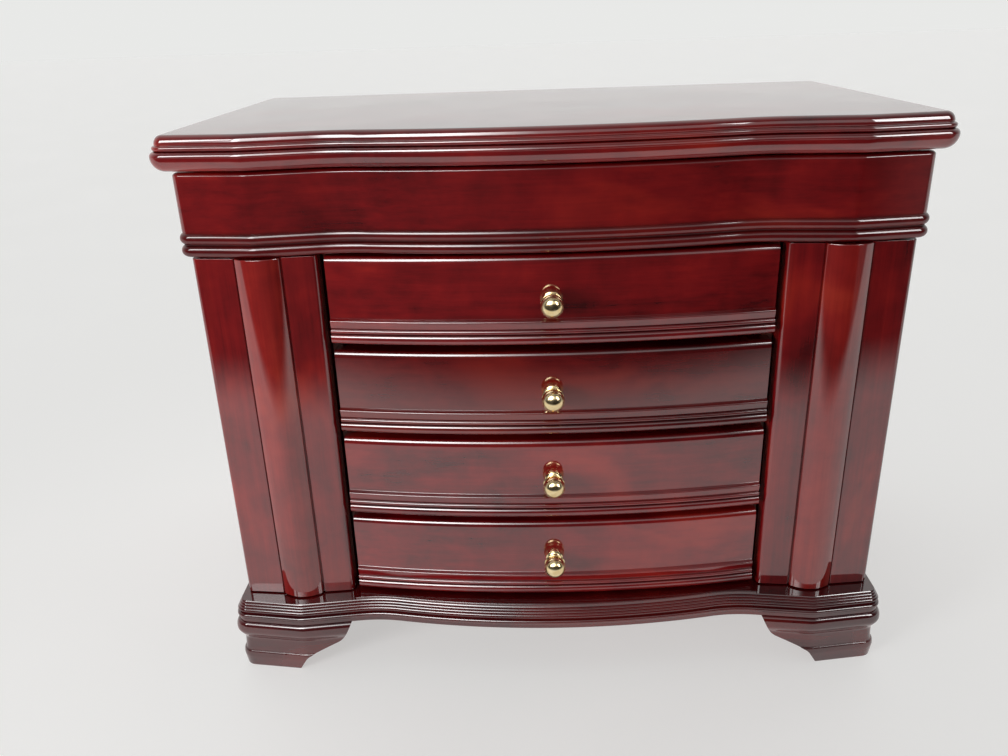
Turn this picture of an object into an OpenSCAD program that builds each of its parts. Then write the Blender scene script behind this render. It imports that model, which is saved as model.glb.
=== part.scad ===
// Bow-front jewelry chest: a lifting lid over a tray, four drawers, two swing-out necklace doors.
// Millimetres, +Z up, the front faces -Y. The origin is on the floor under the middle of the chest.
// Inside in_frame() the line through the front corners of the door posts is y = 0.

/* [Case] */
// Width over the two door posts
case_w = 332; // [310:1:370]
// Depth from the post corner line to the back face
case_d = 191; // [165:1:225]
// Height of the bracket feet
foot_h = 28.7; // [26:0.1:42]
// Thickness of the moulded base board
base_h = 12; // [11:0.1:14]
// Height of the bay that holds the drawers and the doors
bay_h = 186.4; // [165:0.1:230]
// Height of the tray wall
frieze_h = 38.4; // [34:0.1:50]
// Thickness of the tray walls behind the deepest part of the front curve
wall_t = 10; // [8:0.5:13]
// Thickness of the tray floor
tray_floor_t = 4; // [3:0.5:6]
// How far the tray wall stands outside the posts
frieze_side = 3.5; // [2:0.1:6]
// How far the base bead stands outside the posts
base_side = 6; // [4:0.1:8]
// How far the base bead stands in front of the tray wall
base_ledge = 10.7; // [8:0.1:13]

/* [Front curve] */
// Distance of the bow's centre in front of the corner line
bow_out = 9.5; // [8:0.1:10]
// Radius of the bow
bow_r = 440; // [420:5:480]
// Half chord at which the bow turns into the hollow
bow_half = 82; // [76:1:84]
// Radius of the hollow beside the bow
hollow_r = 74; // [66:1:80]
// Distance of the ridge from the middle
ridge_x = 135; // [130:0.5:138]
// Radius of the ridge
ridge_r = 12; // [8:1:20]
// Slant of the face between the hollow and the ridge, in degrees
inner_cant = 7; // [5:0.5:9]
// Slant of the face between the ridge and the corner, in degrees
outer_cant = 8; // [6:0.5:10]
// Radius of the tray wall's front corners
corner_r = 5; // [4:0.5:8]

/* [Lid] */
// Thickness of the lid
lid_t = 15.8; // [14:0.1:20]
// Shadow gap between the tray wall and the lid
lid_gap = 0.8; // [0.6:0.1:1.4]
// How far the lid's bead stands outside the tray wall
lid_overhang = 7.6; // [6.5:0.1:10]
// Corner radius of the lid's bead
lid_corner_r = 8; // [7:0.1:10]
// How far the lid's edge curves in under the large bead
lid_edge_in = 6; // [4:0.1:6]
// Distance of the mirror frame from the tray's sides
mirror_side_gap = 29.5; // [10:0.5:60]
// Distance of the mirror frame from the tray's front and back
mirror_end_gap = 7.5; // [5:0.5:30]
// Thickness of the mirror
mirror_t = 3; // [2:0.5:4]
// Width of the mirror frame
mirror_rim = 12; // [9:0.5:14]

/* [Doors] */
// Width of a door post
post_w = 58; // [54:0.5:58]
// Depth of a door post behind the corner line
post_d = 17.5; // [15:0.5:20]
// Slant of the post's faces, in degrees
post_cant = 5.5; // [3:0.5:7]
// Running gap above and below a door
door_gap = 0.7; // [0.5:0.1:1.2]
// Thickness of a door's side panel
panel_t = 8; // [7:0.5:10]
// Width of the round column on a post
column_w = 20.7; // [16:0.1:22]
// Radius of the column's front
column_r = 16; // [12:0.5:20]
// Distance of the column's front from the corner line
column_out = 6.5; // [6:0.1:8]
// Width of the groove beside the column
column_groove = 0.6; // [0.4:0.1:1]
// Depth of the case's rear stiles
stile_d = 13; // [10:0.5:16]
// Width of the case's rear stiles
stile_w = 16; // [12:0.5:20]

/* [Necklace fittings] */
// Number of hooks on a door
hook_count = 6; // [4:1:8]
// Radius of a hook's wire
hook_r = 1.3; // [1:0.1:1.8]
// Length of a hook's arm
hook_arm = 11; // [8:0.5:16]
// Height of the hook rail
rail_h = 12; // [10:0.5:18]
// Thickness of the hook rail
rail_t = 7; // [6:0.5:10]
// Height of the fabric pocket
pocket_h = 54; // [40:1:70]
// Depth of the fabric pocket
pocket_d = 11; // [10:0.5:16]
// Thickness of the pocket's padded cloth
cloth_t = 2; // [1.5:0.1:2.4]

/* [Drawers] */
// Number of drawers
drawer_count = 4; // [4:1:4]
// Gap between a drawer front and the posts
drawer_reveal = 3.2; // [2:0.1:4]
// Gap between one drawer front and the next
rail_gap = 4.5; // [3:0.1:6]
// Gap above the top drawer front
head_gap = 1.7; // [1:0.1:2.5]
// Gap under the lowest drawer front
drawer_gap = 1.5; // [0.5:0.1:2]
// Depth of the drawer fronts' bow
drawer_bow = 8.6; // [6:0.1:10]
// Distance of the drawer fronts' ends behind the corner line
drawer_set = 1; // [0:0.1:2]
// Thickness of a drawer front at its ends
front_t = 9; // [8:0.5:12]
// Depth of a drawer box behind its front
box_d = 150; // [120:1:160]
// Distance of a drawer box's rim below the front's upper edge
box_drop = 5.6; // [4:0.1:10]
// Height of the drawer box above the front's lower edge
box_lift = 4.6; // [4:0.1:6]
// Thickness of a drawer's sides
side_t = 6; // [5:0.5:8]
// Thickness of a drawer's bottom
bottom_t = 3; // [2.5:0.5:4]
// Thickness of the cloth linings
lining_t = 1.2; // [0.8:0.1:1.6]
// Thickness of the partitions beside the drawers
partition_t = 5; // [4:0.5:6]
// Thickness of the board under the drawers
floor_t = 1.4; // [1.2:0.1:2.4]
// Clearance of the drawer box and its runners
slide_clear = 0.4; // [0.3:0.1:0.6]

/* [Knobs] */
// Radius of a knob's ball
ball_r = 5; // [4.4:0.05:5.4]
// Half length of the ball along its axis
ball_half = 4.6; // [4:0.1:5.4]
// Radius of a knob's collar
collar_r = 5.1; // [4.8:0.1:6.5]
// Length of a knob's bell-shaped collar
collar_t = 5.6; // [5:0.1:6]
// Distance of the ball's centre from the drawer front
ball_reach = 8.7; // [8.3:0.1:11]
// Distance of the knob from the middle of the drawer front's height
knob_drop = 0.1; // [0:0.1:3]

/* [Hinges and catches] */
// Radius of a hinge barrel
barrel_r = 2.2; // [2:0.1:2.6]
// Radius of a hinge pin
pin_r = 1; // [0.8:0.1:1.1]
// Length of a hinge
hinge_len = 24; // [20:1:30]
// Thickness of a hinge leaf
leaf_t = 1; // [0.8:0.1:1.2]
// Width of a hinge leaf
leaf_w = 6.5; // [5:0.5:7]
// Distance of the lid hinges from the middle
lid_hinge_x = 95; // [70:1:120]
// Distance of a door hinge from the end of its door
door_hinge_inset = 30; // [22:1:50]
// Radius of the catch magnets
magnet_r = 4; // [3:0.5:4.5]
// Thickness of the catch magnets
magnet_t = 3; // [2:0.5:4]

/* [Tray] */
// Height of the tray dividers above the tray floor
divider_h = 23; // [18:1:26]
// Thickness of the tray dividers
divider_t = 4; // [3:0.5:5]
// Half width of the middle bay
ring_bay = 56; // [46:1:66]
// Number of ring rolls
roll_count = 10; // [8:1:11]
// Height of a ring roll
roll_h = 14; // [10:0.5:16]

/* [Hidden] */

// Finishes
cherry = "#6b1416";
cherry_light = "#8c2a1c";
inside_wood = "#5a2018";
velvet = "#7d1f2c";
brass = "#d9b45a";
silvered = "#c8d0d4";
steel = "#9a9a98";

// Small clearances
soft_gap = 0.3;
pin_clear = 0.05;
barrel_gap = 0.4;
glue_line = 0.1;
seat_clear = 0.05;
far = 400;

// Levels
base_z = foot_h;
bay_z = base_z + base_h;
tray_z = bay_z + bay_h;
tray_top = tray_z + frieze_h;
lid_z = tray_top + lid_gap;
lid_top = lid_z + lid_t;
door_z = bay_z + door_gap;
door_h = bay_h - 2 * door_gap;
floor_top = bay_z + floor_t;
drawer_h =
    (bay_h - floor_t - drawer_gap - head_gap - (drawer_count - 1) * rail_gap) / drawer_count;
drawer_pitch = drawer_h + rail_gap;
box_h = drawer_h - box_lift - box_drop;
knob_rise = drawer_h / 2 - knob_drop;

// Half widths
case_half = case_w / 2;
frieze_half = case_half + frieze_side;
lid_half = frieze_half + lid_overhang;
base_half = case_half + base_side;
post_in = case_half - post_w;
drawer_w = 2 * (post_in - drawer_reveal);
partition_out = post_in - door_gap;
partition_in = partition_out - partition_t;
box_half = partition_in - slide_clear;
tray_half = frieze_half - wall_t;

// Depths
hollow_y = bow_r - bow_out - (bow_r + hollow_r) * cos(asin(bow_half / bow_r)) + hollow_r;
tray_in = hollow_y + wall_t;
tray_back_in = case_d - wall_t;
drawer_r = (pow(drawer_w / 2, 2) + pow(drawer_bow, 2)) / (2 * drawer_bow);
drawer_face = drawer_set - drawer_bow;
drawer_rear = drawer_set + front_t;
box_rear = drawer_rear + box_d;
partition_front = drawer_rear + door_gap;
stile_front = case_d - stile_d;
panel_rear = stile_front - door_gap;
back_t = 4;
back_recess = 2;
knob_tip = drawer_face - ball_reach - ball_half;
hinge_reach = 2 * barrel_r + barrel_gap;
front_line = -(case_d + hinge_reach + knob_tip) / 2;

// Hinge axes, in front-line coordinates
lid_axis = [case_d + barrel_gap + barrel_r, lid_z - lid_gap / 2];
door_axis = [case_half + barrel_gap + barrel_r, stile_front - door_gap / 2];
door_hinge_z = [door_z + door_hinge_inset, door_z + door_h - door_hinge_inset];

module in_frame() {
    translate([0, front_line, 0]) children();
}

// Places a left-hand copy of a right-hand piece
module on_side(side) {
    if (side > 0) children();
    else mirror([1, 0, 0]) children();
}

function arc(centre, r, from, to, steps) = [
    for (i = [0 : steps])
        let (a = from + (to - from) * i / steps)
            centre + r * [cos(a), sin(a)]
];

function oval(centre, a, b, from, to, steps) = [
    for (i = [0 : steps])
        let (t = from + (to - from) * i / steps)
            centre + [a * cos(t), b * sin(t)]
];

function unit(v) = v / norm(v);

// Points of one polygon corner, rounded to radius r between its neighbours a and b
function fillet(p, a, b, r, steps) =
    let (
        u = unit(a - p),
        v = unit(b - p),
        half = acos(u * v) / 2,
        centre = p + unit(u + v) * r / sin(half),
        from = p + u * r / tan(half) - centre,
        to = p + v * r / tan(half) - centre,
        start = atan2(from[1], from[0]),
        turn = (atan2(to[1], to[0]) - start + 540) % 360 - 180
    )
    arc(centre, r, start, start + turn, steps);

// Outline through corners [x, y, radius]
function rounded(corners, steps = 6) =
    let (n = len(corners), flat = [for (c = corners) [c[0], c[1]]])
    [for (i = [0 : n - 1])
        each corners[i][2] == 0
            ? [flat[i]]
            : fillet(flat[i], flat[(i + n - 1) % n], flat[(i + 1) % n], corners[i][2], steps)];

// Serpentine front: bow, hollow, ridge and corner, as arcs joined by straight faces
bow_angle = asin(bow_half / bow_r);
bow_centre = [0, bow_r - bow_out];
hollow_centre = bow_centre + (bow_r + hollow_r) * [sin(bow_angle), -cos(bow_angle)];
hollow_end = hollow_centre + hollow_r * [sin(inner_cant), cos(inner_cant)];
ridge = [ridge_x, hollow_end[1] - (ridge_x - hollow_end[0]) * tan(inner_cant)];
inner_normal = [sin(inner_cant), cos(inner_cant)];
outer_normal = [-sin(outer_cant), cos(outer_cant)];
ridge_step = (inner_normal + outer_normal) / (1 + inner_normal * outer_normal);
ridge_centre = ridge + ridge_r * ridge_step;

// Right half of the front, a distance d outside the tray wall, to a side at half with corner radius r
function front_half(d, half, r) =
    let (
        tip = ridge - d * ridge_step,
        run = (half - r - tip[0] + r * sin(outer_cant)) / cos(outer_cant),
        corner = tip + run * [cos(outer_cant), sin(outer_cant)] + r * outer_normal
    )
    concat(
        arc(bow_centre, bow_r + d, -90, -90 + bow_angle, 9),
        arc(hollow_centre, hollow_r - d, 90 + bow_angle, 90 - inner_cant, 6),
        arc(ridge_centre, ridge_r + d, -90 - inner_cant, -90 + outer_cant, 4),
        arc(corner, r, -90 + outer_cant, 0, 5)
    );

// Closed outline with a straight back, counterclockwise. The curved front is moved back by shift
function outline(d, half, r, shift) =
    let (right = [for (p = front_half(d, half, r)) p + [0, shift]])
    concat(
        right,
        [[half, case_d], [-half, case_d]],
        [for (i = [len(right) - 1 : -1 : 1]) [-right[i][0], right[i][1]]]
    );

// Outline of a front corner only: the face beside the ridge, the ridge, the corner, and a square rear
corner_from = 16;
function corner_outline(d, half, r, shift, inner_x, rear_y) =
    let (right = [for (p = front_half(d, half, r)) p + [0, shift]])
    concat(
        [[inner_x, right[corner_from][1] + (right[corner_from][0] - inner_x) * tan(inner_cant)]],
        [for (i = [corner_from + 1 : len(right) - 1]) right[i]],
        [[half, rear_y], [inner_x, rear_y]]
    );

// End faces as triangles: fans from the two back corners, which see the whole curved front
function outline_cap(n) =
    let (right = (n - 1) / 2, left = right + 1)
    concat(
        [for (i = [0 : right - 2]) [i, i + 1, right]],
        [[0, right, left]],
        [for (i = [left + 1 : n - 1]) [left, i, (i + 1) % n]]
    );

function fan_cap(n) = [for (i = [0 : n - 3]) [n - 1, i, i + 1]];

// Solid through rings of equal length, one above the other at the heights levels.
// The triangles cap close the lowest ring, and turned over the highest one.
module loft(rings, levels, cap) {
    n = len(rings[0]);
    last = len(rings) - 1;
    points = [for (k = [0 : last]) for (q = rings[k]) [q[0], q[1], levels[k]]];
    walls = [
        for (k = [0 : last - 1])
            for (j = [0 : n - 1])
                let (a = k * n + j, b = k * n + (j + 1) % n)
                    each [[a, a + n, b + n], [a, b + n, b]]
    ];
    roof = [for (t = cap) [last * n + t[2], last * n + t[1], last * n + t[0]]];
    polyhedron(points, concat(cap, walls, roof), convexity = 8);
}

// A moulding [distance from its widest line, height] carried round the whole outline.
// The widest line lies reach outside the tray wall.
module moulded(profile, reach, r, shift) {
    rings = [for (p = profile) outline(reach + p[0], frieze_half + reach + p[0], r + p[0], shift)];
    loft(rings, [for (p = profile) p[1]], outline_cap(len(rings[0])));
}

// A moulding carried round one front corner only
module moulded_corner(profile, reach, r, shift, inner_x, rear_y) {
    rings = [
        for (p = profile)
            corner_outline(
                reach + p[0], frieze_half + reach + p[0], r + p[0], shift, inner_x, rear_y)
    ];
    loft(rings, [for (p = profile) p[1]], fan_cap(len(rings[0])));
}

// Lid edge: a large oval bead below, a narrow bead and a rounded nose above. Heights are shares of lid_t
lid_neck = 2.6;
lid_small_in = 3.1;
lid_small_r = 1.6;
lid_nose_in = 6.6;
lid_nose = 3.8;
lid_line = 0.41 * lid_t;
lid_shoulder = 0.15 * lid_t;
lid_small_h = 0.083 * lid_t;
lid_profile = concat(
    oval([-lid_edge_in, lid_line], lid_edge_in, lid_line, -90, 0, 7),
    oval([-lid_neck, lid_line], lid_neck, lid_shoulder, 18, 70, 3),
    [[-lid_neck, 0.56 * lid_t]],
    oval([-lid_small_in, 0.64 * lid_t], lid_small_r, lid_small_h, -60, 60, 4),
    [[-lid_neck, 0.72 * lid_t]],
    oval([-lid_nose_in, 0.735 * lid_t], lid_nose, 0.265 * lid_t, 0, 90, 5)
);

// Tray wall: two beads below, a small cove over them, a plain face and an eased top edge
frieze_bead_r = 2.75;
frieze_bead_out = 1.4;
frieze_ease = 3.5;
frieze_profile = concat(
    arc([frieze_bead_out - frieze_bead_r, frieze_bead_r], frieze_bead_r, -90, 62, 6),
    [[-0.1, 2 * frieze_bead_r + 0.1]],
    arc([frieze_bead_out - frieze_bead_r, 3 * frieze_bead_r + 0.2], frieze_bead_r, -60, 60, 5),
    [[0.05, 4 * frieze_bead_r + 0.4], [0, 4 * frieze_bead_r + 1.2]],
    arc([-frieze_ease, frieze_h - frieze_ease], frieze_ease, 0, 90, 4)
);

// Base edge: fascia, small bead, groove, and fine flutes up to the ledge
flute = 0.6;
flute_rise = 1.3;
flute_count = 4;
flute_z = base_h - flute_count * flute_rise;
base_bead = 1.4;
base_bead_z = 3.7;
base_groove = 1.7;
base_edge_in = 3.3;
base_profile = concat(
    [[-base_bead, 0], [-0.8, 0.6], [-0.8, 2.2]],
    arc([-base_bead, base_bead_z], base_bead, -60, 65, 4),
    [[-base_groove, 5.3], [-base_groove, flute_z - 0.3]],
    [for (i = [0 : flute_count - 1])
        each [
            [-1 - i * flute, flute_z + (i + 0.1) * flute_rise],
            [-0.75 - (i + 0.5) * flute, flute_z + (i + 0.7) * flute_rise]
        ]],
    [[-base_edge_in, base_h]]
);

// Section of the feet, measured from the base bead: toe block, step, swelling, waist and shoulder
foot_keys = [[0, -2.4], [0.17, -2.2], [0.2, -0.6], [0.4, 1], [0.62, -1.7], [0.88, 1.3], [1, -0.8]];
foot_last = len(foot_keys) - 1;
function foot_blend(k, t) =
    k < 2 ? t : k == 2 ? sqrt(1 - pow(1 - t, 2))
    : k == foot_last - 1 ? 1 - sqrt(1 - t * t) : (1 - cos(180 * t)) / 2;
function foot_steps(k) = k < 2 ? 1 : 5;
foot_profile = concat(
    [for (k = [0 : foot_last - 1], i = [0 : foot_steps(k) - 1])
        let (t = i / foot_steps(k), a = foot_keys[k], b = foot_keys[k + 1])
            [a[1] + (b[1] - a[1]) * foot_blend(k, t), foot_h * (a[0] + (b[0] - a[0]) * t)]],
    [[foot_keys[foot_last][1], foot_h]]
);

base_reach = base_half - frieze_half;
base_shift = base_reach - base_ledge;
base_corner_r = corner_r + base_reach;
lid_shift = 1.5;

// Case: base, feet, carcass

module base_board() {
    color(cherry) in_frame()
        translate([0, 0, base_z]) moulded(base_profile, base_reach, base_corner_r, base_shift);
}

module floor_board() {
    half = post_in - 3 * door_gap;
    color(cherry) in_frame() translate([0, 0, bay_z]) linear_extrude(floor_t) intersection() {
        polygon(outline(base_reach - base_edge_in, base_half, corner_r, base_shift));
        translate([-half, -far]) square([2 * half, far + case_d - back_recess - back_t]);
    }
}

// Side view of a bracket foot, drawn from its outer end at x = 0 inwards
foot_top_w = 60;
foot_bottom_w = 31;
foot_lean = 4.5;
foot_outline = rounded([
    [-20, 0, 0],
    [foot_bottom_w, 0, 0],
    [foot_bottom_w + foot_lean, 0.27 * foot_h, 6],
    [foot_top_w - foot_lean, 0.575 * foot_h, 8],
    [foot_top_w, foot_h, 0],
    [-20, foot_h, 0]
]);

// Front of a foot as the outline shows it from the front
module foot_front_cut() {
    translate([base_half, far, 0]) rotate([90, 0, 0]) linear_extrude(2 * far)
        mirror([1, 0]) polygon(foot_outline);
}

module front_foot() {
    front_end = base_shift - base_reach;
    intersection() {
        moulded_corner(
            foot_profile, base_reach, base_corner_r, base_shift,
            base_half - foot_top_w - 1, front_end + foot_top_w + 1);
        foot_front_cut();
        translate([0, front_end, 0]) rotate([90, 0, 90]) linear_extrude(far) polygon(foot_outline);
    }
}

// The rear feet are plain at the back
module rear_foot() {
    intersection() {
        translate([0, case_d, 0]) rotate([90, 0, 0]) linear_extrude(foot_top_w) polygon(concat(
            [for (p = foot_profile) [base_half + p[0], p[1]]],
            [[base_half - foot_top_w, foot_h], [base_half - foot_top_w, 0]]
        ));
        foot_front_cut();
        translate([0, case_d, 0]) rotate([90, 0, 90]) linear_extrude(far)
            mirror([1, 0]) polygon(foot_outline);
    }
}

module front_feet() {
    color(cherry) in_frame() for (side = [-1, 1]) on_side(side) front_foot();
}

module rear_feet() {
    color(cherry) in_frame() for (side = [-1, 1]) on_side(side) rear_foot();
}

// Recess for a door hinge leaf in the face at y, cut towards dir
module door_leaf_seat(y, dir) {
    for (z = door_hinge_z)
        translate([case_half - leaf_w, dir > 0 ? y : y - leaf_t, z - hinge_len / 2])
            cube([leaf_w + 1, leaf_t, hinge_len]);
}

module rear_stiles() {
    color(cherry) in_frame() for (side = [-1, 1]) on_side(side) difference() {
        translate([case_half - stile_w, stile_front, bay_z]) cube([stile_w, stile_d, bay_h]);
        door_leaf_seat(stile_front, 1);
    }
}

module partitions() {
    color(inside_wood) in_frame() for (side = [-1, 1]) on_side(side)
        translate([partition_in, partition_front, floor_top])
            cube([partition_t, case_d - back_recess - back_t - partition_front, bay_h - floor_t]);
}

module back_panel() {
    half = case_half - stile_w;
    color(inside_wood) in_frame()
        translate([-half, case_d - back_recess - back_t, bay_z]) cube([2 * half, back_t, bay_h]);
}

function drawer_z(i) = floor_top + drawer_gap + (drawer_count - i) * drawer_pitch;

runner_h = drawer_gap + box_lift - slide_clear;
module drawer_runners() {
    color(inside_wood) in_frame() for (side = [-1, 1], i = [1 : drawer_count]) on_side(side)
        translate([partition_in - side_t, partition_front + door_gap, drawer_z(i) - drawer_gap])
            cube([side_t, box_d, runner_h]);
}

// Tray under the lid

mitre_in = [tray_half, tray_in];
mitre_out = mitre_in + 2.5 * ([frieze_half, ridge[1] / 2] - mitre_in);

// Seat for a catch magnet or plate, radius with its fitting clearance
module catch_disc(z, r, h) {
    translate([ridge_x, (tray_in + column_seat) / 2, z]) cylinder(r = r, h = h, $fn = 64);
}

module tray_front() {
    color(cherry) in_frame() difference() {
        intersection() {
            translate([0, 0, tray_z]) moulded(frieze_profile, 0, corner_r, 0);
            linear_extrude(far) polygon([
                [-mitre_in[0], mitre_in[1]], [-mitre_out[0], mitre_out[1]], [-mitre_out[0], -far],
                [mitre_out[0], -far], mitre_out, mitre_in
            ]);
        }
        for (side = [-1, 1]) on_side(side)
            catch_disc(tray_z, magnet_r + seat_clear, magnet_t);
    }
}

module tray_sides() {
    color(cherry) in_frame() for (side = [-1, 1]) on_side(side) intersection() {
        translate([0, 0, tray_z])
            moulded_corner(frieze_profile, 0, corner_r, 0, tray_half, case_d);
        linear_extrude(far) polygon([
            mitre_in, mitre_out, [far, mitre_out[1]], [far, case_d], [tray_half, case_d]
        ]);
    }
}

module lid_leaf_seat(z) {
    for (x = [-lid_hinge_x, lid_hinge_x])
        translate([x - hinge_len / 2, case_d - leaf_w, z]) cube([hinge_len, leaf_w + 1, leaf_t]);
}

module tray_back() {
    color(cherry) in_frame() difference() {
        translate([-tray_half, tray_back_in, tray_z]) cube([2 * tray_half, wall_t, frieze_h]);
        lid_leaf_seat(tray_top - leaf_t);
    }
}

module tray_floor() {
    color(inside_wood) in_frame()
        translate([-tray_half, tray_in, tray_z])
            cube([2 * tray_half, tray_back_in - tray_in, tray_floor_t]);
}

tray_floor_top = tray_z + tray_floor_t;
cross_y = (tray_in + tray_back_in) / 2;
divider_x = ring_bay + divider_t;

module tray_lining() {
    half_d = cross_y - divider_t / 2 - tray_in - 2 * soft_gap;
    side_w = tray_half - divider_x - 2 * soft_gap;
    color(velvet) in_frame() translate([0, 0, tray_floor_top]) {
        translate([-ring_bay + soft_gap, tray_in + soft_gap, 0])
            cube([2 * (ring_bay - soft_gap), tray_back_in - tray_in - 2 * soft_gap, lining_t]);
        for (side = [-1, 1], y = [tray_in, cross_y + divider_t / 2]) on_side(side)
            translate([divider_x + soft_gap, y + soft_gap, 0]) cube([side_w, half_d, lining_t]);
    }
}

module tray_dividers() {
    color(inside_wood) in_frame() for (side = [-1, 1]) on_side(side)
        translate([0, 0, tray_floor_top]) {
            translate([ring_bay, tray_in, 0])
                cube([divider_t, tray_back_in - tray_in, divider_h]);
            translate([divider_x + glue_line, cross_y - divider_t / 2, 0])
                cube([tray_half - divider_x - glue_line, divider_t, divider_h]);
        }
}

// Padded ring rolls lying across the middle bay, flat underneath, with round ends
module ring_rolls() {
    pitch = (tray_back_in - tray_in - 2 * soft_gap) / roll_count;
    r = pitch / 2 - soft_gap / 2;
    base = tray_floor_top + lining_t;
    reach = ring_bay - 2 * soft_gap - r;
    color(velvet) in_frame() for (i = [0 : roll_count - 1])
        translate([0, tray_in + soft_gap + (i + 0.5) * pitch, base + roll_h - r])
            difference() {
                rotate([0, 90, 0]) rotate_extrude($fn = 48) polygon(concat(
                    arc([0, -reach], r, -90, 0, 8),
                    arc([0, reach], r, 0, 90, 8)
                ));
                translate([-far, -far, -far - roll_h + r]) cube([2 * far, 2 * far, far]);
            }
}

// Hinges: three knuckles on one pin. The axis runs along local Z, the leaves reach towards -X

knuckle = hinge_len / 3;
leaf_edge = -barrel_r - barrel_gap;

module knuckle_piece(from, to, dir, gap) {
    y = dir > 0 ? gap / 2 : -gap / 2 - leaf_t;
    translate([0, 0, from]) cylinder(r = barrel_r, h = to - from, $fn = 48);
    translate([leaf_edge - leaf_w, y, from]) cube([leaf_w - leaf_edge, leaf_t, to - from]);
}

// One leaf: the outer knuckles or the middle one, on the side dir of the joint
module leaf(outer, dir, gap) {
    low = -hinge_len / 2;
    difference() {
        union() {
            if (outer) {
                knuckle_piece(low, low + knuckle - barrel_gap / 2, dir, gap);
                knuckle_piece(-low - knuckle + barrel_gap / 2, -low, dir, gap);
            } else {
                knuckle_piece(low + knuckle + barrel_gap / 2, -low - knuckle - barrel_gap / 2, dir, gap);
            }
            translate([leaf_edge - leaf_w, dir > 0 ? gap / 2 : -gap / 2 - leaf_t, low])
                cube([leaf_w, leaf_t, hinge_len]);
        }
        translate([0, 0, low - 1]) cylinder(r = pin_r + pin_clear, h = hinge_len + 2, $fn = 48);
    }
}

module hinge_pin() {
    translate([0, 0, -hinge_len / 2]) cylinder(r = pin_r, h = hinge_len, $fn = 48);
}

// Sets local Z along +X and local -X towards the front
module at_lid_hinges() {
    for (x = [-lid_hinge_x, lid_hinge_x])
        translate([x, lid_axis[0], lid_axis[1]]) rotate([90, 0, 90]) children();
}

module at_door_hinges(side) {
    on_side(side) for (z = door_hinge_z)
        translate([door_axis[0], door_axis[1], z]) children();
}

module lid_hinge_case_leaves() {
    color(brass) in_frame() at_lid_hinges() leaf(true, -1, lid_gap);
}

module lid_hinge_lid_leaves() {
    color(brass) in_frame() at_lid_hinges() leaf(false, 1, lid_gap);
}

module door_hinge_case_leaves() {
    color(brass) in_frame() for (side = [-1, 1]) at_door_hinges(side) leaf(true, 1, door_gap);
}

module hinge_pins() {
    color(steel) in_frame() {
        at_lid_hinges() hinge_pin();
        for (side = [-1, 1]) at_door_hinges(side) hinge_pin();
    }
}

module catch_magnets() {
    color(steel) in_frame() for (side = [-1, 1]) on_side(side)
        catch_disc(tray_z, magnet_r, magnet_t);
}

// Lid

module lid_panel() {
    color(cherry) in_frame() difference() {
        translate([0, 0, lid_z]) moulded(lid_profile, lid_overhang, lid_corner_r, lid_shift);
        lid_leaf_seat(lid_z);
    }
}

mirror_w = 2 * (tray_half - mirror_side_gap - mirror_rim);
mirror_d = tray_back_in - tray_in - 2 * (mirror_end_gap + mirror_rim);
mirror_y = cross_y - mirror_d / 2;
frame_lip = 3;
lip_t = 1.5;

module mirror_frame() {
    color(cherry) in_frame() translate([0, mirror_y, lid_z - mirror_t - lip_t]) difference() {
        translate([-mirror_w / 2 - mirror_rim, -mirror_rim, 0])
            cube([mirror_w + 2 * mirror_rim, mirror_d + 2 * mirror_rim, mirror_t + lip_t]);
        translate([-mirror_w / 2 - seat_clear, -seat_clear, lip_t])
            cube([mirror_w + 2 * seat_clear, mirror_d + 2 * seat_clear, far]);
        translate([-mirror_w / 2 + frame_lip, frame_lip, -1])
            cube([mirror_w - 2 * frame_lip, mirror_d - 2 * frame_lip, far]);
    }
}

module mirror_glass() {
    translate([-mirror_w / 2, mirror_y, lid_z - mirror_t]) cube([mirror_w, mirror_d, mirror_t]);
}

// Doors, drawn for the right side

post_ease = 2.5;
column_half = column_w / 2;
column_seat = -1.2;
post_ridge = -(case_half - ridge_x) * tan(post_cant);
function post_face(x) = post_ridge + abs(x - ridge_x) * tan(post_cant);

module door_post(side) {
    slot = column_half + column_groove;
    color(cherry) in_frame() on_side(side) difference() {
        translate([0, 0, door_z]) linear_extrude(door_h) polygon(rounded([
            [post_in, post_d, 0],
            [post_in, post_face(post_in), post_ease],
            [ridge_x - slot, post_face(ridge_x - slot), 0],
            [ridge_x - slot, column_seat, 0],
            [ridge_x + slot, column_seat, 0],
            [ridge_x + slot, post_face(ridge_x + slot), 0],
            [case_half, post_face(case_half), post_ease],
            [case_half, post_d, 0]
        ]));
        catch_disc(door_z + door_h - magnet_t, magnet_r + seat_clear, magnet_t + 1);
    }
}

module door_column(side) {
    color(cherry_light) in_frame() on_side(side)
        translate([ridge_x, 0, door_z]) linear_extrude(door_h) intersection() {
            translate([0, column_r - column_out]) circle(r = column_r, $fn = 96);
            translate([-column_half, -column_out - 1])
                square([column_w, column_out + 1 + column_seat]);
        }
}

module door_panel(side) {
    color(cherry) in_frame() on_side(side) difference() {
        translate([case_half - panel_t, post_d, door_z])
            cube([panel_t, panel_rear - post_d, door_h]);
        door_leaf_seat(panel_rear, -1);
    }
}

panel_in = case_half - panel_t;
rail_front = 14;
rail_inset = 22;
rail_y = post_d + rail_front;
rail_len = panel_rear - rail_y - rail_inset;
rail_z = door_z + door_h - rail_inset - rail_h;

module hook_rail(side) {
    color(inside_wood) in_frame() on_side(side)
        translate([panel_in - rail_t, rail_y, rail_z]) cube([rail_t, rail_len, rail_h]);
}

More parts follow.
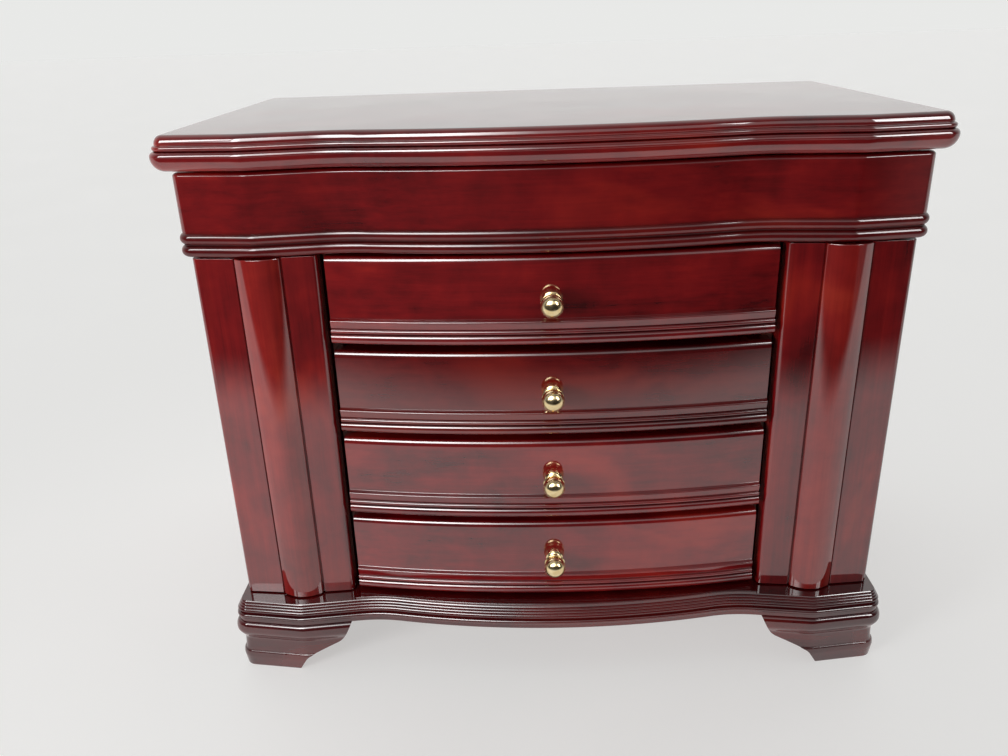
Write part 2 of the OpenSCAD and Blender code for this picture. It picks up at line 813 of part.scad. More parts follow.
// Round hooks: an arm with a ball at its turned-up end
module door_hooks(side) {
    pitch = rail_len / hook_count;
    color(brass) in_frame() on_side(side) for (i = [0 : hook_count - 1])
        translate([panel_in - rail_t, rail_y + (i + 0.5) * pitch, rail_z + rail_h / 2]) {
            rotate([0, -90, 0]) cylinder(r = hook_r, h = hook_arm, $fn = 32);
            translate([-hook_arm, 0, 0]) sphere(r = hook_r, $fn = 32);
            translate([-hook_arm, 0, 0]) cylinder(r = hook_r, h = 3 * hook_r, $fn = 32);
            translate([-hook_arm, 0, 3 * hook_r]) sphere(r = 1.25 * hook_r, $fn = 32);
        }
}

pocket_front = 12;
pocket_rear = 16;
pocket_low = 3;
pocket_y = post_d + pocket_front;
pocket_w = panel_rear - pocket_y - pocket_rear;
pocket_z = door_z + pocket_low;

module door_pocket(side) {
    color(velvet) in_frame() on_side(side)
        translate([panel_in - soft_gap - pocket_d, pocket_y, pocket_z]) difference() {
            linear_extrude(pocket_h) polygon(rounded([
                [0, 0, 5], [0, pocket_w, 5], [pocket_d, pocket_w, 0], [pocket_d, 0, 0]
            ]));
            translate([cloth_t, cloth_t, cloth_t])
                linear_extrude(pocket_h) polygon(rounded([
                    [0, 0, 3.5], [0, pocket_w - 2 * cloth_t, 3.5],
                    [pocket_d - 2 * cloth_t, pocket_w - 2 * cloth_t, 0], [pocket_d - 2 * cloth_t, 0, 0]
                ]));
        }
}

module door_leaves(side) {
    color(brass) in_frame() at_door_hinges(side) leaf(false, -1, door_gap);
}

module door_catch(side) {
    color(steel) in_frame() on_side(side)
        catch_disc(door_z + door_h - magnet_t, magnet_r, magnet_t);
}

// Drawers

front_bead = 2.6;
front_bead_out = 2.8;
small_bead = 1.1;
front_ease = 2.2;
step_out = 1.6;
step_z = 7.2;
cove_r = 4.2;
cove_z = 12.6;

// Section of a drawer front: x runs outwards from the flat face, y upwards from the lower edge
module front_section() {
    depth = front_t + drawer_bow + 4;
    difference() {
        translate([-depth, 0]) square([depth, drawer_h]);
        difference() {
            translate([-front_ease, drawer_h - front_ease]) square(front_ease + 1);
            translate([-front_ease, drawer_h - front_ease]) circle(r = front_ease, $fn = 48);
        }
    }
    translate([front_bead_out - front_bead, front_bead]) circle(r = front_bead, $fn = 64);
    translate([-1, 0]) square([1 + front_bead_out - front_bead, 2 * front_bead]);
    translate([0.9, 2 * front_bead + small_bead - 0.2]) circle(r = small_bead, $fn = 48);
    translate([-1, 2 * front_bead - 0.2]) square([1.9, 2 * small_bead]);
    difference() {
        translate([-1, step_z]) square([1 + step_out, cove_z - step_z - 0.2]);
        translate([cove_r, cove_z]) circle(r = cove_r, $fn = 64);
    }
}

module drawer_front(i) {
    spread = 2 * asin(drawer_w / 2 / drawer_r) + 2;
    color(cherry) in_frame() translate([0, 0, drawer_z(i)]) intersection() {
        translate([0, drawer_face + drawer_r, 0])
            rotate([0, 0, -90 - spread / 2])
                rotate_extrude(angle = spread, $fn = 720)
                    translate([drawer_r, 0]) front_section();
        translate([-drawer_w / 2, -far + drawer_rear, 0]) cube([drawer_w, far, drawer_h]);
    }
}

module drawer_box(i) {
    color(inside_wood) in_frame() translate([0, 0, drawer_z(i) + box_lift]) {
        for (side = [-1, 1]) on_side(side)
            translate([box_half - side_t, drawer_rear, 0]) cube([side_t, box_d, box_h]);
        translate([-box_half + side_t + glue_line, box_rear - side_t, 0])
            cube([2 * (box_half - side_t - glue_line), side_t, box_h]);
    }
}

module drawer_bottom(i) {
    half = box_half - side_t;
    color(inside_wood) in_frame() translate([-half, drawer_rear, drawer_z(i) + box_lift])
        cube([2 * half, box_d - side_t, bottom_t]);
}

module drawer_lining(i) {
    half = box_half - side_t - soft_gap;
    color(velvet) in_frame()
        translate([-half, drawer_rear + soft_gap, drawer_z(i) + box_lift + bottom_t])
            cube([2 * half, box_d - side_t - 2 * soft_gap, lining_t]);
}

// Turned knob: foot ring, bell-shaped collar, short neck and ball, x is the radius, y the height
foot_ring_r = 4.4;
waist_r = 3.4;
neck_r = 2.9;
module knob_section() {
    rim = 0.6;
    steps = 14;
    dip = asin((ball_reach - collar_t - 0.3) / ball_half);
    polygon(concat(
        [[0, 0], [foot_ring_r, 0], [foot_ring_r, 0.7]],
        [for (k = [0 : 6])
            let (t = k / 6)
                [waist_r + (collar_r - waist_r) * t * t, 1.4 + (collar_t - 1.4 - rim) * t]],
        arc([collar_r - rim, collar_t - rim], rim, 0, 90, 4),
        [[neck_r, collar_t - 0.3]],
        [for (k = [0 : steps])
            let (a = -dip + (90 + dip) * k / steps)
                [k == steps ? 0 : ball_r * cos(a), ball_reach + ball_half * sin(a)]]
    ));
}

module drawer_knob(i) {
    color(brass) in_frame()
        translate([0, drawer_face, drawer_z(i) + knob_rise]) rotate([90, 0, 0])
            rotate_extrude($fn = 96) knob_section();
}

module left_side_panel() { door_panel(-1); }
module left_post() { door_post(-1); }
module left_column() { door_column(-1); }
module left_hook_rail() { hook_rail(-1); }
module left_hooks() { door_hooks(-1); }
module left_pocket() { door_pocket(-1); }
module left_hinge_leaves() { door_leaves(-1); }
module left_catch_plate() { door_catch(-1); }
module right_side_panel() { door_panel(1); }
module right_post() { door_post(1); }
module right_column() { door_column(1); }
module right_hook_rail() { hook_rail(1); }
module right_hooks() { door_hooks(1); }
module right_pocket() { door_pocket(1); }
module right_hinge_leaves() { door_leaves(1); }
module right_catch_plate() { door_catch(1); }

base_board();
floor_board();
front_feet();
rear_feet();
rear_stiles();
partitions();
back_panel();
drawer_runners();
tray_front();
tray_sides();
tray_back();
tray_floor();
tray_lining();
tray_dividers();
ring_rolls();
lid_hinge_case_leaves();
door_hinge_case_leaves();
hinge_pins();
catch_magnets();
lid_panel();
mirror_frame();
color(silvered) in_frame() mirror_glass();  // mirror
lid_hinge_lid_leaves();
left_side_panel();
left_post();
left_column();
left_hook_rail();
left_hooks();
left_pocket();
left_hinge_leaves();
left_catch_plate();
right_side_panel();
right_post();
right_column();
right_hook_rail();
right_hooks();
right_pocket();
right_hinge_leaves();
right_catch_plate();
for (i = [1 : drawer_count]) {
    drawer_front(i);
    drawer_box(i);
    drawer_bottom(i);
    drawer_lining(i);
    drawer_knob(i);
}
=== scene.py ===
# %% [markdown]
# # A bow-front jewelry chest
# The chest is a small cabinet of stained wood under a thick red lacquer. A lift-up lid covers a jewelry
# tray, four drawers with brass knobs fill the middle, and a tall door with a half-round column stands at
# each side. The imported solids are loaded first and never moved: every new piece is worked out in the same
# coordinates, so nothing has to be fitted by eye.

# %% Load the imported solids
import math

import bmesh
import bpy
import numpy as np
from mathutils import Matrix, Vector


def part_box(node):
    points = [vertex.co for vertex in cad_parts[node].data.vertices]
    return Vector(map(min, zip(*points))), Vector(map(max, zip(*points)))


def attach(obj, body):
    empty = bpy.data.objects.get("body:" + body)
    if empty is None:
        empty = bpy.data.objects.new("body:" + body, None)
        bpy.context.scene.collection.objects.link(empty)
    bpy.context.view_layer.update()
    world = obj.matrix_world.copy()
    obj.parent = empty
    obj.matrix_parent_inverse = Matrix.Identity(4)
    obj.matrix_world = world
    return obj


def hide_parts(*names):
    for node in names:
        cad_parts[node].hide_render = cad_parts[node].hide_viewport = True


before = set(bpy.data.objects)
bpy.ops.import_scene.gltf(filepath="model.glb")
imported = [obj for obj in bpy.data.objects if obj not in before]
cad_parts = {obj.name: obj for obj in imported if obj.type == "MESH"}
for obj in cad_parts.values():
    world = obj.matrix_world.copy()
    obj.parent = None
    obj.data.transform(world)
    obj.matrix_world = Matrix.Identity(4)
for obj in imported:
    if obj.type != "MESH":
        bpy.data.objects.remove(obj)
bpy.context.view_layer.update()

# %% [markdown]
# ## From formulas to meshes
# Shapes are worked out in millimetres from the front line of the case: x to the right, y to the back and z
# up. Each one is a grid of points, computed as whole arrays. One helper turns a grid into a mesh object: it
# merges the seams, turns all faces outwards, marks hard edges, hangs the piece on its body and hides the solid
# it replaces.
# Weighted normals keep large flat faces flat beside small rounded edges, which a mirror-like lacquer shows.

# %% Grids, pieces
MM = 0.001
SEAM, SLIVER = 1e-6, 1e-7
BEVEL_STEPS, BEVEL_FROM = 3, 40
POST_DEPTH = 17.5
FRONT_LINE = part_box("left_post")[1].y / MM - POST_DEPTH
made = []


def quads(rows, cols, ring=False):
    """Quads of a grid of rows x cols points, numbered row by row.

    With ring, the last column joins the first.
    """
    r = np.arange(rows - 1)[:, None] * cols
    c = np.arange(cols if ring else cols - 1)[None, :]
    n = (c + 1) % cols
    return np.stack([r + c, r + n, r + cols + n, r + cols + c], axis=-1).reshape(-1, 4)


def piece(name, points, faces, body, finish, slot, node, glaze=None, crease=35, bevel=0):
    """One mesh object from points in millimetres, in place of the solid called node.

    glaze is a number for each point, 1 in the bottom of a groove, where the lacquer gets painted
    shade. Edges sharper than crease degrees stay hard.
    """
    world = (np.asarray(points, float).reshape(-1, 3) + [0, FRONT_LINE, 0]) * MM
    mesh = bpy.data.meshes.new(name)
    mesh.from_pydata(world.tolist(), [], [list(face) for face in faces])
    depth = np.zeros(len(world)) if glaze is None else np.asarray(glaze, float).ravel()
    mesh.attributes.new("glaze", "FLOAT", "POINT").data.foreach_set("value", depth.astype(np.float32))
    shell = bmesh.new()
    shell.from_mesh(mesh)
    bmesh.ops.remove_doubles(shell, verts=shell.verts, dist=SEAM)
    bmesh.ops.dissolve_degenerate(shell, dist=SLIVER, edges=shell.edges)
    bmesh.ops.recalc_face_normals(shell, faces=shell.faces)
    shell.to_mesh(mesh)
    shell.free()
    mesh.shade_smooth()
    mesh.set_sharp_from_angle(angle=math.radians(crease))
    mesh.materials.append(finish)
    obj = bpy.data.objects.new(name, mesh)
    bpy.context.collection.objects.link(obj)
    if bevel:
        edge = obj.modifiers.new("eased edges", "BEVEL")
        edge.width, edge.segments = bevel * MM, BEVEL_STEPS
        edge.limit_method, edge.angle_limit = "ANGLE", math.radians(BEVEL_FROM)
        edge.harden_normals = False
    even = obj.modifiers.new("even shading", "WEIGHTED_NORMAL")
    even.keep_sharp = True
    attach(obj, body)
    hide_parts(node)
    made.append(name)
    return obj


def box_of(node):
    """A node's lowest and highest corner in millimetres from the front line."""
    low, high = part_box(node)
    return np.array(low) / MM - [0, FRONT_LINE, 0], np.array(high) / MM - [0, FRONT_LINE, 0]


print("front line at y =", round(FRONT_LINE, 2), "mm")

# %% [markdown]
# ## The camera
# The photograph looks slightly down on the front from a little left of the middle. The camera's place and
# turn were worked out from the corners of the lid and base, so it is written as a position, three angles
# and a lens.

# %% Camera
EYE = (-0.011536, -0.475465, 0.324222)
YAW, PITCH, ROLL = (math.radians(a) for a in (-1.734, 22.518, -1.968))
LENS, SENSOR, NEAREST = 30.906, 36, 0.01

ahead = np.array([math.sin(YAW) * math.cos(PITCH), math.cos(YAW) * math.cos(PITCH), -math.sin(PITCH)])
level = np.array([math.cos(YAW), -math.sin(YAW), 0.0])
upright = np.cross(level, ahead)
right_side = math.cos(ROLL) * level + math.sin(ROLL) * upright
top_side = math.cos(ROLL) * upright - math.sin(ROLL) * level

camera = bpy.data.objects.new("camera", bpy.data.cameras.new("camera"))
camera.data.lens = LENS
camera.data.sensor_width = SENSOR
camera.data.clip_start = NEAREST
turn = np.eye(4)
turn[:3, 0], turn[:3, 1], turn[:3, 2], turn[:3, 3] = right_side, top_side, -ahead, EYE
camera.matrix_world = Matrix(turn.tolist())
bpy.context.collection.objects.link(camera)
bpy.context.scene.camera = camera
print("camera looks along", np.round(ahead, 3))

# %% [markdown]
# ## Shader arithmetic
# A finish is a sum of patterns: fibres, clouds of stain, pores, specks. Writing that as Python sums is easier
# to read than a node diagram, so a socket is wrapped in a small class whose operators add Math nodes. Every
# other node comes from one method.

# %% Sockets that take part in sums


class Value:
    """A socket of a shader. Arithmetic with numbers or other sockets adds a Math node."""

    def __init__(self, recipe, socket):
        self.recipe, self.socket = recipe, socket

    def _math(self, operation, first, second):
        return self.recipe.node("ShaderNodeMath", {"operation": operation}, {0: first, 1: second})

    def __add__(self, other):
        return self._math("ADD", self, other)

    def __sub__(self, other):
        return self._math("SUBTRACT", self, other)

    def __rsub__(self, other):
        return self._math("SUBTRACT", other, self)

    def __mul__(self, other):
        return self._math("MULTIPLY", self, other)

    def __truediv__(self, other):
        return self._math("DIVIDE", self, other)


class Recipe:
    """A node tree that is written down node by node."""

    def __init__(self, tree):
        self.tree = tree
        tree.nodes.clear()

    def node(self, kind, settings=None, sockets=None, output=0):
        """Adds a node. Settings are set first, then sockets get their value or link."""
        new = self.tree.nodes.new(kind)
        for key, value in (settings or {}).items():
            if key == "stops":
                steps = new.color_ramp.elements
                steps.remove(steps[1])
                steps[0].position, steps[0].color = value[0][0], (*value[0][1], 1)
                for place, colour in value[1:]:
                    steps.new(place).color = (*colour, 1)
            else:
                setattr(new, key, value)
        for key, value in (sockets or {}).items():
            if isinstance(value, Value):
                self.tree.links.new(value.socket, new.inputs[key])
            else:
                new.inputs[key].default_value = value
        return Value(self, new.outputs[output])

    def place(self, scale=(1, 1, 1)):
        """Object coordinates, times scale in each direction."""
        here = self.node("ShaderNodeTexCoord", output=3)
        return self.node("ShaderNodeMapping", None, {"Vector": here, "Scale": scale})

    def noise(self, vector, scale=1, detail=2, rough=0.5, distortion=0):
        """Soft noise from 0 to 1, finer with scale.

        detail and rough give its finer layers, and distortion bends it.
        """
        sockets = {"Vector": vector, "Scale": scale, "Detail": detail, "Roughness": rough}
        return self.node("ShaderNodeTexNoise", None, {**sockets, "Distortion": distortion})

    def ramp(self, factor, *stops):
        """The colour at factor between stops (place, colour)."""
        return self.node("ShaderNodeValToRGB", {"stops": list(stops)}, {0: factor})

    def span(self, value, low, high, to_low=0.0, to_high=1.0):
        """Carries value from low..high to to_low..to_high with a soft start and end."""
        sockets = {0: value, 1: low, 2: high, 3: to_low, 4: to_high}
        return self.node("ShaderNodeMapRange", {"interpolation_type": "SMOOTHSTEP"}, sockets)

    def mix(self, factor, first, second):
        """The first colour where factor is 0, the second where it is 1."""
        return self.node("ShaderNodeMix", {"data_type": "RGBA"}, {0: factor, 6: first, 7: second}, 2)

    def bump(self, height, strength, distance):
        """A normal that follows height, where 1 stands for distance in metres."""
        sockets = {"Height": height, "Strength": strength, "Distance": distance}
        return self.node("ShaderNodeBump", None, sockets)

    def surface(self, **sockets):
        """The Principled shader with its sockets by name, spaces as underscores, joined to the output."""
        named = {key.replace("_", " "): value for key, value in sockets.items()}
        shader = self.node("ShaderNodeBsdfPrincipled", None, named)
        self.node_out("ShaderNodeOutputMaterial", shader)

    def node_out(self, kind, shader):
        """Joins a shader to an output node of that kind."""
        end = self.tree.nodes.new(kind)
        self.tree.links.new(shader.socket, end.inputs[0])


def finish_for(name):
    """A new material and the recipe that fills it."""
    material = bpy.data.materials.new(name)
    material.use_nodes = True
    return material, Recipe(material.node_tree)


print("shader helpers ready")

# %% [markdown]
# ## Red lacquer on wood
# The wood is stained a deep cherry red and sprayed with clear gloss lacquer. Close to, fine fibres run along
# the grain, the stain lies in soft clouds and a few dust nibs sit in the lacquer. The grooves of the mouldings
# get painted shade: a darker colour and a duller coat. The fibres are noise that is stretched along the grain,
# so there is one finish for each grain direction. A coat layer gives the sharp reflection, and a faint
# orange-peel bump breaks it.
# The columns are lighter and the base is darker. Each drawer front's lacquer is painted lighter or darker, as
# painted light and shade.

# %% Lacquer finishes
ALONG, ACROSS = 9, 300
CLOUD_ALONG, CLOUD_ACROSS = 9.0, 26
GRAIN = {"x": (ALONG, ACROSS, ACROSS), "y": (ACROSS, ALONG, ACROSS), "z": (ACROSS, ACROSS, ALONG)}
# Painted shade in the grooves: a near-black colour, how far it covers, and how much it thins the coat.
GROOVE_SHADE_TONE = (0.010, 0.0012, 0.0014, 1)
GROOVE_SHADE_COVER, COAT_LOSS = 0.8, 0.8


def lacquer(name, grain, dark, middle, light, glow):
    """Lacquered wood with fibres along the axis grain.

    The tone runs from dark over middle to light, and glow shows in the thick of the stain's clouds.
    """
    material, r = finish_for(name)
    stretch = np.array(GRAIN[grain], float)
    fibre = r.noise(r.place(tuple(stretch)), 1, 5, 0.6, 0.3)
    hair = r.noise(r.place(tuple(stretch * 3.5)), 1, 3, 0.6)
    cloud = r.noise(r.place(tuple(np.where(stretch == ACROSS, CLOUD_ACROSS, CLOUD_ALONG))), 1, 3, 0.55, 0.7)
    blot = r.noise(r.place((55, 55, 55)), 1, 3, 0.6, 0.3)
    pores = r.span(r.noise(r.place(tuple(stretch * 2.4)), 1, 2, 0.5), 0.62, 0.74)
    tone = cloud * 0.45 + fibre * 0.22 + blot * 0.25 + hair * 0.08
    wood = r.ramp(tone, (0.36, dark), (0.5, middle), (0.62, light))
    wood = r.mix(r.span(cloud, 0.52, 0.72) * 0.4, wood, (*glow, 1))
    wood = r.mix(pores * 0.12, wood, (*(0.4 * np.array(dark)), 1))
    # Painted shade: this mask, 1 in the bottom of a groove, mixes the colour towards a near-black tone.
    groove = r.node("ShaderNodeAttribute", {"attribute_name": "glaze"}, None, 2)
    wood = r.mix(groove * GROOVE_SHADE_COVER, wood, GROOVE_SHADE_TONE)
    nib = r.span(r.noise(r.place(), 520, 0), 0.77, 0.82)
    peel = r.noise(r.place(), 240, 2, 0.5)
    sheen = r.noise(r.place(), 30, 3, 0.6)
    r.surface(
        Base_Color=wood,
        Roughness=r.span(sheen, 0.35, 0.7, 0.3, 0.42),
        Specular_IOR_Level=0.04,
        # The coat is thinned in grooves too: partly lacquer that lies thinner there, partly painted shade on
        # its reflection.
        Coat_Weight=1 - groove * COAT_LOSS,
        Coat_Roughness=0.03,
        Coat_IOR=1.9,
        Normal=r.bump(peel * 0.35 + nib + fibre * 0.3 - hair * 0.15, 0.1, 0.0003),
    )
    return material


RED = (0.062, 0.0014, 0.0026), (0.165, 0.0038, 0.0052), (0.25, 0.0080, 0.0072), (0.36, 0.024, 0.010)
COLUMN_RED = (0.12, 0.0045, 0.0045), (0.23, 0.0090, 0.0075), (0.31, 0.0180, 0.0110), (0.42, 0.045, 0.018)
DARK_RED = (0.028, 0.0010, 0.0016), (0.075, 0.0022, 0.0032), (0.12, 0.0042, 0.0044), (0.17, 0.010, 0.006)
red = {axis: lacquer("red lacquer, grain along " + axis, axis, *RED) for axis in "xyz"}
base_red = {axis: lacquer("dark red lacquer, grain along " + axis, axis, *DARK_RED) for axis in "xy"}
column_red = lacquer("light red lacquer of the columns", "z", *COLUMN_RED)
# Painted light and shade: each drawer front's lacquer is the red scaled by its own factor, to stand in for how
# the light falls on that drawer.
PAINTED_DRAWER_LIGHT = 1.1, 0.6, 1.05, 1.2
drawer_lit_red = [lacquer(f"red lacquer of drawer {n}", "x", *(np.array(RED) * shade).tolist())
              for n, shade in enumerate(PAINTED_DRAWER_LIGHT, 1)]
print("lacquers:", [m.name for m in (*red.values(), *base_red.values(), column_red, *drawer_lit_red)])

# %% [markdown]
# ## Inside wood, velvet, brass, steel and mirror
# Inside, the boards are stained and waxed rather than sprayed, so they have the same grain and a satin
# surface. The linings are wine-red velvet: a short pile that is bright at grazing angles, with streaks where
# it was brushed. Knobs, hooks and hinges are polished brass with a slight haze of handling.

# %% Other finishes
WAXED = (0.06, 0.009, 0.005), (0.13, 0.022, 0.010), (0.21, 0.045, 0.020)
PILE = (0.055, 0.003, 0.008), (0.19, 0.012, 0.026)
PILE_SHEEN = (0.75, 0.25, 0.3, 1)
SMUDGED, CLEAN = (0.78, 0.80, 0.80), (0.86, 0.88, 0.88)


def inside_wood(name, grain):
    """Stained wood with a satin wax finish."""
    material, r = finish_for(name)
    stretch = np.array(GRAIN[grain], float)
    fibre = r.noise(r.place(tuple(stretch * 0.8)), 1, 5, 0.65, 0.5)
    cloud = r.noise(r.place((14, 14, 14)), 1, 2, 0.5, 0.6)
    tone = fibre * 0.7 + cloud * 0.3
    wood = r.ramp(tone, (0.35, WAXED[0]), (0.52, WAXED[1]), (0.68, WAXED[2]))
    r.surface(
        Base_Color=wood,
        Roughness=r.span(fibre, 0.3, 0.7, 0.38, 0.55),
        Normal=r.bump(fibre, 0.18, 0.0005),
    )
    return material


def velvet(name):
    """Short velvet pile: fine specks, brushed streaks and sheen."""
    material, r = finish_for(name)
    pile = r.noise(r.place(), 2600, 2, 0.6)
    brushed = r.noise(r.place((30, 90, 60)), 1, 3, 0.55, 0.7)
    colour = r.ramp(pile * 0.5 + brushed * 0.5, (0.36, PILE[0]), (0.64, PILE[1]))
    r.surface(
        Base_Color=colour,
        Roughness=r.span(brushed, 0.3, 0.7, 0.75, 0.95),
        Sheen_Weight=0.7,
        Sheen_Roughness=0.35,
        Sheen_Tint=PILE_SHEEN,
        Normal=r.bump(pile, 0.5, 0.0006),
    )
    return material


def metal(name, dull, bright, low, high):
    """Polished metal: roughness between low and high in soft handling marks and fine scratches."""
    material, r = finish_for(name)
    haze = r.noise(r.place(), 220, 4, 0.6, 0.4)
    scratch = r.noise(r.place((600, 600, 5000)), 1, 2, 0.5)
    r.surface(
        Base_Color=r.ramp(haze, (0.35, dull), (0.62, bright)),
        Metallic=1.0,
        Roughness=r.span(haze * 0.8 + scratch * 0.2, 0.35, 0.65, low, high),
        Normal=r.bump(scratch, 0.03, 0.0002),
    )
    return material


def silvered(name):
    """Mirror glass with a breath of smudges."""
    material, r = finish_for(name)
    smudge = r.noise(r.place(), 45, 4, 0.6, 0.8)
    r.surface(
        Base_Color=r.ramp(smudge, (0.4, SMUDGED), (0.7, CLEAN)),
        Metallic=1.0,
        Roughness=r.span(smudge, 0.45, 0.75, 0.015, 0.06),
    )
    return material


wax = {axis: inside_wood("inside wood, grain along " + axis, axis) for axis in "xyz"}
wine_velvet = velvet("wine velvet")
brass = metal("polished brass", (0.80, 0.60, 0.30), (0.95, 0.79, 0.47), 0.13, 0.24)
steel = metal("bright steel", (0.42, 0.42, 0.43), (0.6, 0.6, 0.6), 0.22, 0.36)
mirror_silver = silvered("silvered glass")
print("finishes:", len(bpy.data.materials))

# %% [markdown]
# ## The serpentine front line
# The lid, the tray wall, the base and the feet all follow one line in plan: a long bow in the middle, a
# hollow at each side of it, a ridge in front of each column and a canted face to the corner. The line is made
# of arcs that meet smoothly, so moving it outwards by d only changes the arcs' radii. A moulding is then a
# grid: one row for each point of its profile, and in each row the whole line at that point's distance.

# %% The line and its offsets
FRIEZE_HALF, CASE_BACK = 169.5, 191.0
BOW_OUT, BOW_R, BOW_HALF, HOLLOW_R = 9.5, 440.0, 82.0, 74.0
RIDGE_X, RIDGE_R, CORNER_R = 135.0, 12.0, 5.0
INNER_CANT, OUTER_CANT = 7.0, 8.0
BOW_STEPS, HOLLOW_STEPS, RIDGE_STEPS, CORNER_STEPS = 26, 10, 10, 12
GROOVE_WINDOW, GROOVE_FULL = 2.2, 0.7


def polar(angle):
    """The direction (cos a, sin a) of an angle in degrees."""
    return np.array([math.cos(math.radians(angle)), math.sin(math.radians(angle))])


def arc(centre, radius, start, end, steps):
    """Points centre + radius (cos a, sin a) at steps + 1 angles from start to end, in degrees.

    With several centres or radii, it gives a row of points for each.
    """
    a = np.radians(np.linspace(start, end, steps + 1))
    circle = np.stack([np.cos(a), np.sin(a)], axis=-1)
    return np.asarray(centre)[..., None, :] + np.asarray(radius)[..., None, None] * circle


bow_angle = math.degrees(math.asin(BOW_HALF / BOW_R))
bow_centre = np.array([0, BOW_R - BOW_OUT])
hollow_centre = bow_centre + (BOW_R + HOLLOW_R) * polar(bow_angle - 90)
hollow_end = hollow_centre + HOLLOW_R * polar(90 - INNER_CANT)
ridge = np.array([RIDGE_X, hollow_end[1] - (RIDGE_X - hollow_end[0]) * math.tan(math.radians(INNER_CANT))])
inner_normal, outer_normal = polar(90 - INNER_CANT), polar(90 + OUTER_CANT)
ridge_step = (inner_normal + outer_normal) / (1 + inner_normal @ outer_normal)
along_cant = polar(OUTER_CANT)


def front_rows(d, radius, shift):
    """The whole front from the left corner to the right one, a row for each distance d outside the tray wall.

    The bow has radius R + d, the hollow H - d, the ridge r + d; the corner arc ends on the side x = half + d.
    """
    d, radius = np.asarray(d, float), np.asarray(radius, float)
    tip = ridge - d[:, None] * ridge_step
    run = (FRIEZE_HALF + d - radius - tip[:, 0] + radius * along_cant[1]) / along_cant[0]
    corner = tip + run[:, None] * along_cant + radius[:, None] * outer_normal
    right = np.concatenate([
        arc(bow_centre, BOW_R + d, -90, bow_angle - 90, BOW_STEPS),
        arc(hollow_centre, HOLLOW_R - d, 90 + bow_angle, 90 - INNER_CANT, HOLLOW_STEPS),
        arc(ridge + RIDGE_R * ridge_step, RIDGE_R + d, -90 - INNER_CANT, OUTER_CANT - 90, RIDGE_STEPS),
        arc(corner, radius, OUTER_CANT - 90, 0, CORNER_STEPS),
    ], axis=1) + [0, shift]
    return np.concatenate([right[:, :0:-1] * [-1, 1], right], axis=1)


def recess(profile, full=GROOVE_FULL):
    """How deep each profile point lies in a groove, as a share of full millimetres.

    Along the profile, the foremost point within the window is taken on each side. The lesser of the two
    counts.
    """
    s = np.concatenate([[0], np.cumsum(np.hypot(*np.diff(profile, axis=0).T))])
    ahead_by = s[None, :] - s[:, None]
    out = profile[None, :, 0]
    above = np.where((ahead_by >= 0) & (ahead_by < GROOVE_WINDOW), out, -np.inf).max(axis=1)
    below = np.where((ahead_by <= 0) & (ahead_by > -GROOVE_WINDOW), out, -np.inf).max(axis=1)
    return np.clip((np.minimum(above, below) - profile[:, 0]) / full, 0, 1)


def raised(plan, z):
    """Plan points (rows, n, 2) with the height of each row."""
    height = np.broadcast_to(np.reshape(z, (-1, 1, 1)), (*plan.shape[:2], 1))
    return np.concatenate([plan, height], axis=2)


def moulded_board(profile, reach, radius, shift, bottom):
    """A board with the moulding round its front and sides and a straight back.

    Each row is a ring: the front line, then the same number of points along the back from right to left.
    The first and last rows are closed by quads from front to back.
    """
    front = front_rows(reach + profile[:, 0], radius + profile[:, 0], shift)
    n = front.shape[1]
    share = front[-1, :, 0] / front[-1, -1, 0]
    back_x = front[:, -1:, 0] * share[::-1]
    back = np.stack([back_x, np.full_like(back_x, CASE_BACK)], axis=-1)
    ring = raised(np.concatenate([front, back], axis=1), bottom + profile[:, 1])
    i = np.arange(n - 1)
    cap = np.stack([i, i + 1, 2 * n - 2 - i, 2 * n - 1 - i], axis=-1)
    top = cap + (len(profile) - 1) * 2 * n
    faces = np.concatenate([quads(len(profile), 2 * n, True), cap[:, ::-1], top])
    depth = np.concatenate([np.ones(n), np.zeros(n)])[None, :] * recess(profile)[:, None]
    return ring, faces, depth


print("front line: ridge at", np.round(ridge, 2))

# %% [markdown]
# ## Lid
# The lid is a thick board that overhangs the tray. Its edge has, from below, a large oval bead, a narrow bead
# and a rounded nose. The profile is written as arcs in a section drawing, and the board is that profile
# carried round the front line. The underside sits a hair higher than the solid's, so the hinge leaves, which
# are let in flush, show on it.

# %% Lid panel
LID_T, LID_REACH, LID_CORNER, LID_SHIFT, LID_LIFT = 15.8, 7.6, 8.0, 1.5, 0.03
LID_BEAD, LID_SHOULDER, LID_NARROW, LID_NOSE = 6.0, 2.6, 1.6, 3.8
BEAD_LINE, LOW_GROOVE, NARROW_LINE, HIGH_GROOVE, NOSE_LINE = (
    share * LID_T for share in (0.41, 0.557, 0.64, 0.722, 0.735))
lid_z = box_of("lid_panel")[0][2]


def oval(centre, half, start, end, steps):
    """Points of an ellipse with the half axes half, from the angle start to end."""
    return arc([0, 0], 1, start, end, steps) * half + centre


lid_profile = np.concatenate([
    oval([-LID_BEAD, BEAD_LINE + LID_LIFT], [LID_BEAD, BEAD_LINE], -90, 0, 18),
    oval([-LID_SHOULDER, BEAD_LINE], [LID_SHOULDER, 0.15 * LID_T], 8, 72, 9),
    [[-2.65, LOW_GROOVE]],
    oval([-3.1, NARROW_LINE], [LID_NARROW, 0.083 * LID_T], -62, 62, 10),
    [[-2.85, HIGH_GROOVE]],
    oval([-6.6, NOSE_LINE], [LID_NOSE, 0.265 * LID_T], 0, 90, 14),
])
points, faces, depth = moulded_board(lid_profile, LID_REACH, LID_CORNER, LID_SHIFT, lid_z)
piece("lid_board", points, faces, "lid", red["x"], "lacquer", "lid_panel", depth)
print("lid profile points:", len(lid_profile))

# %% [markdown]
# ## Base
# The base is a low plinth under the whole case: a flat fascia, a small bead, a groove, and fine round reeds
# that step back to the ledge the doors stand on. A thin floor board lies on it under the drawers.

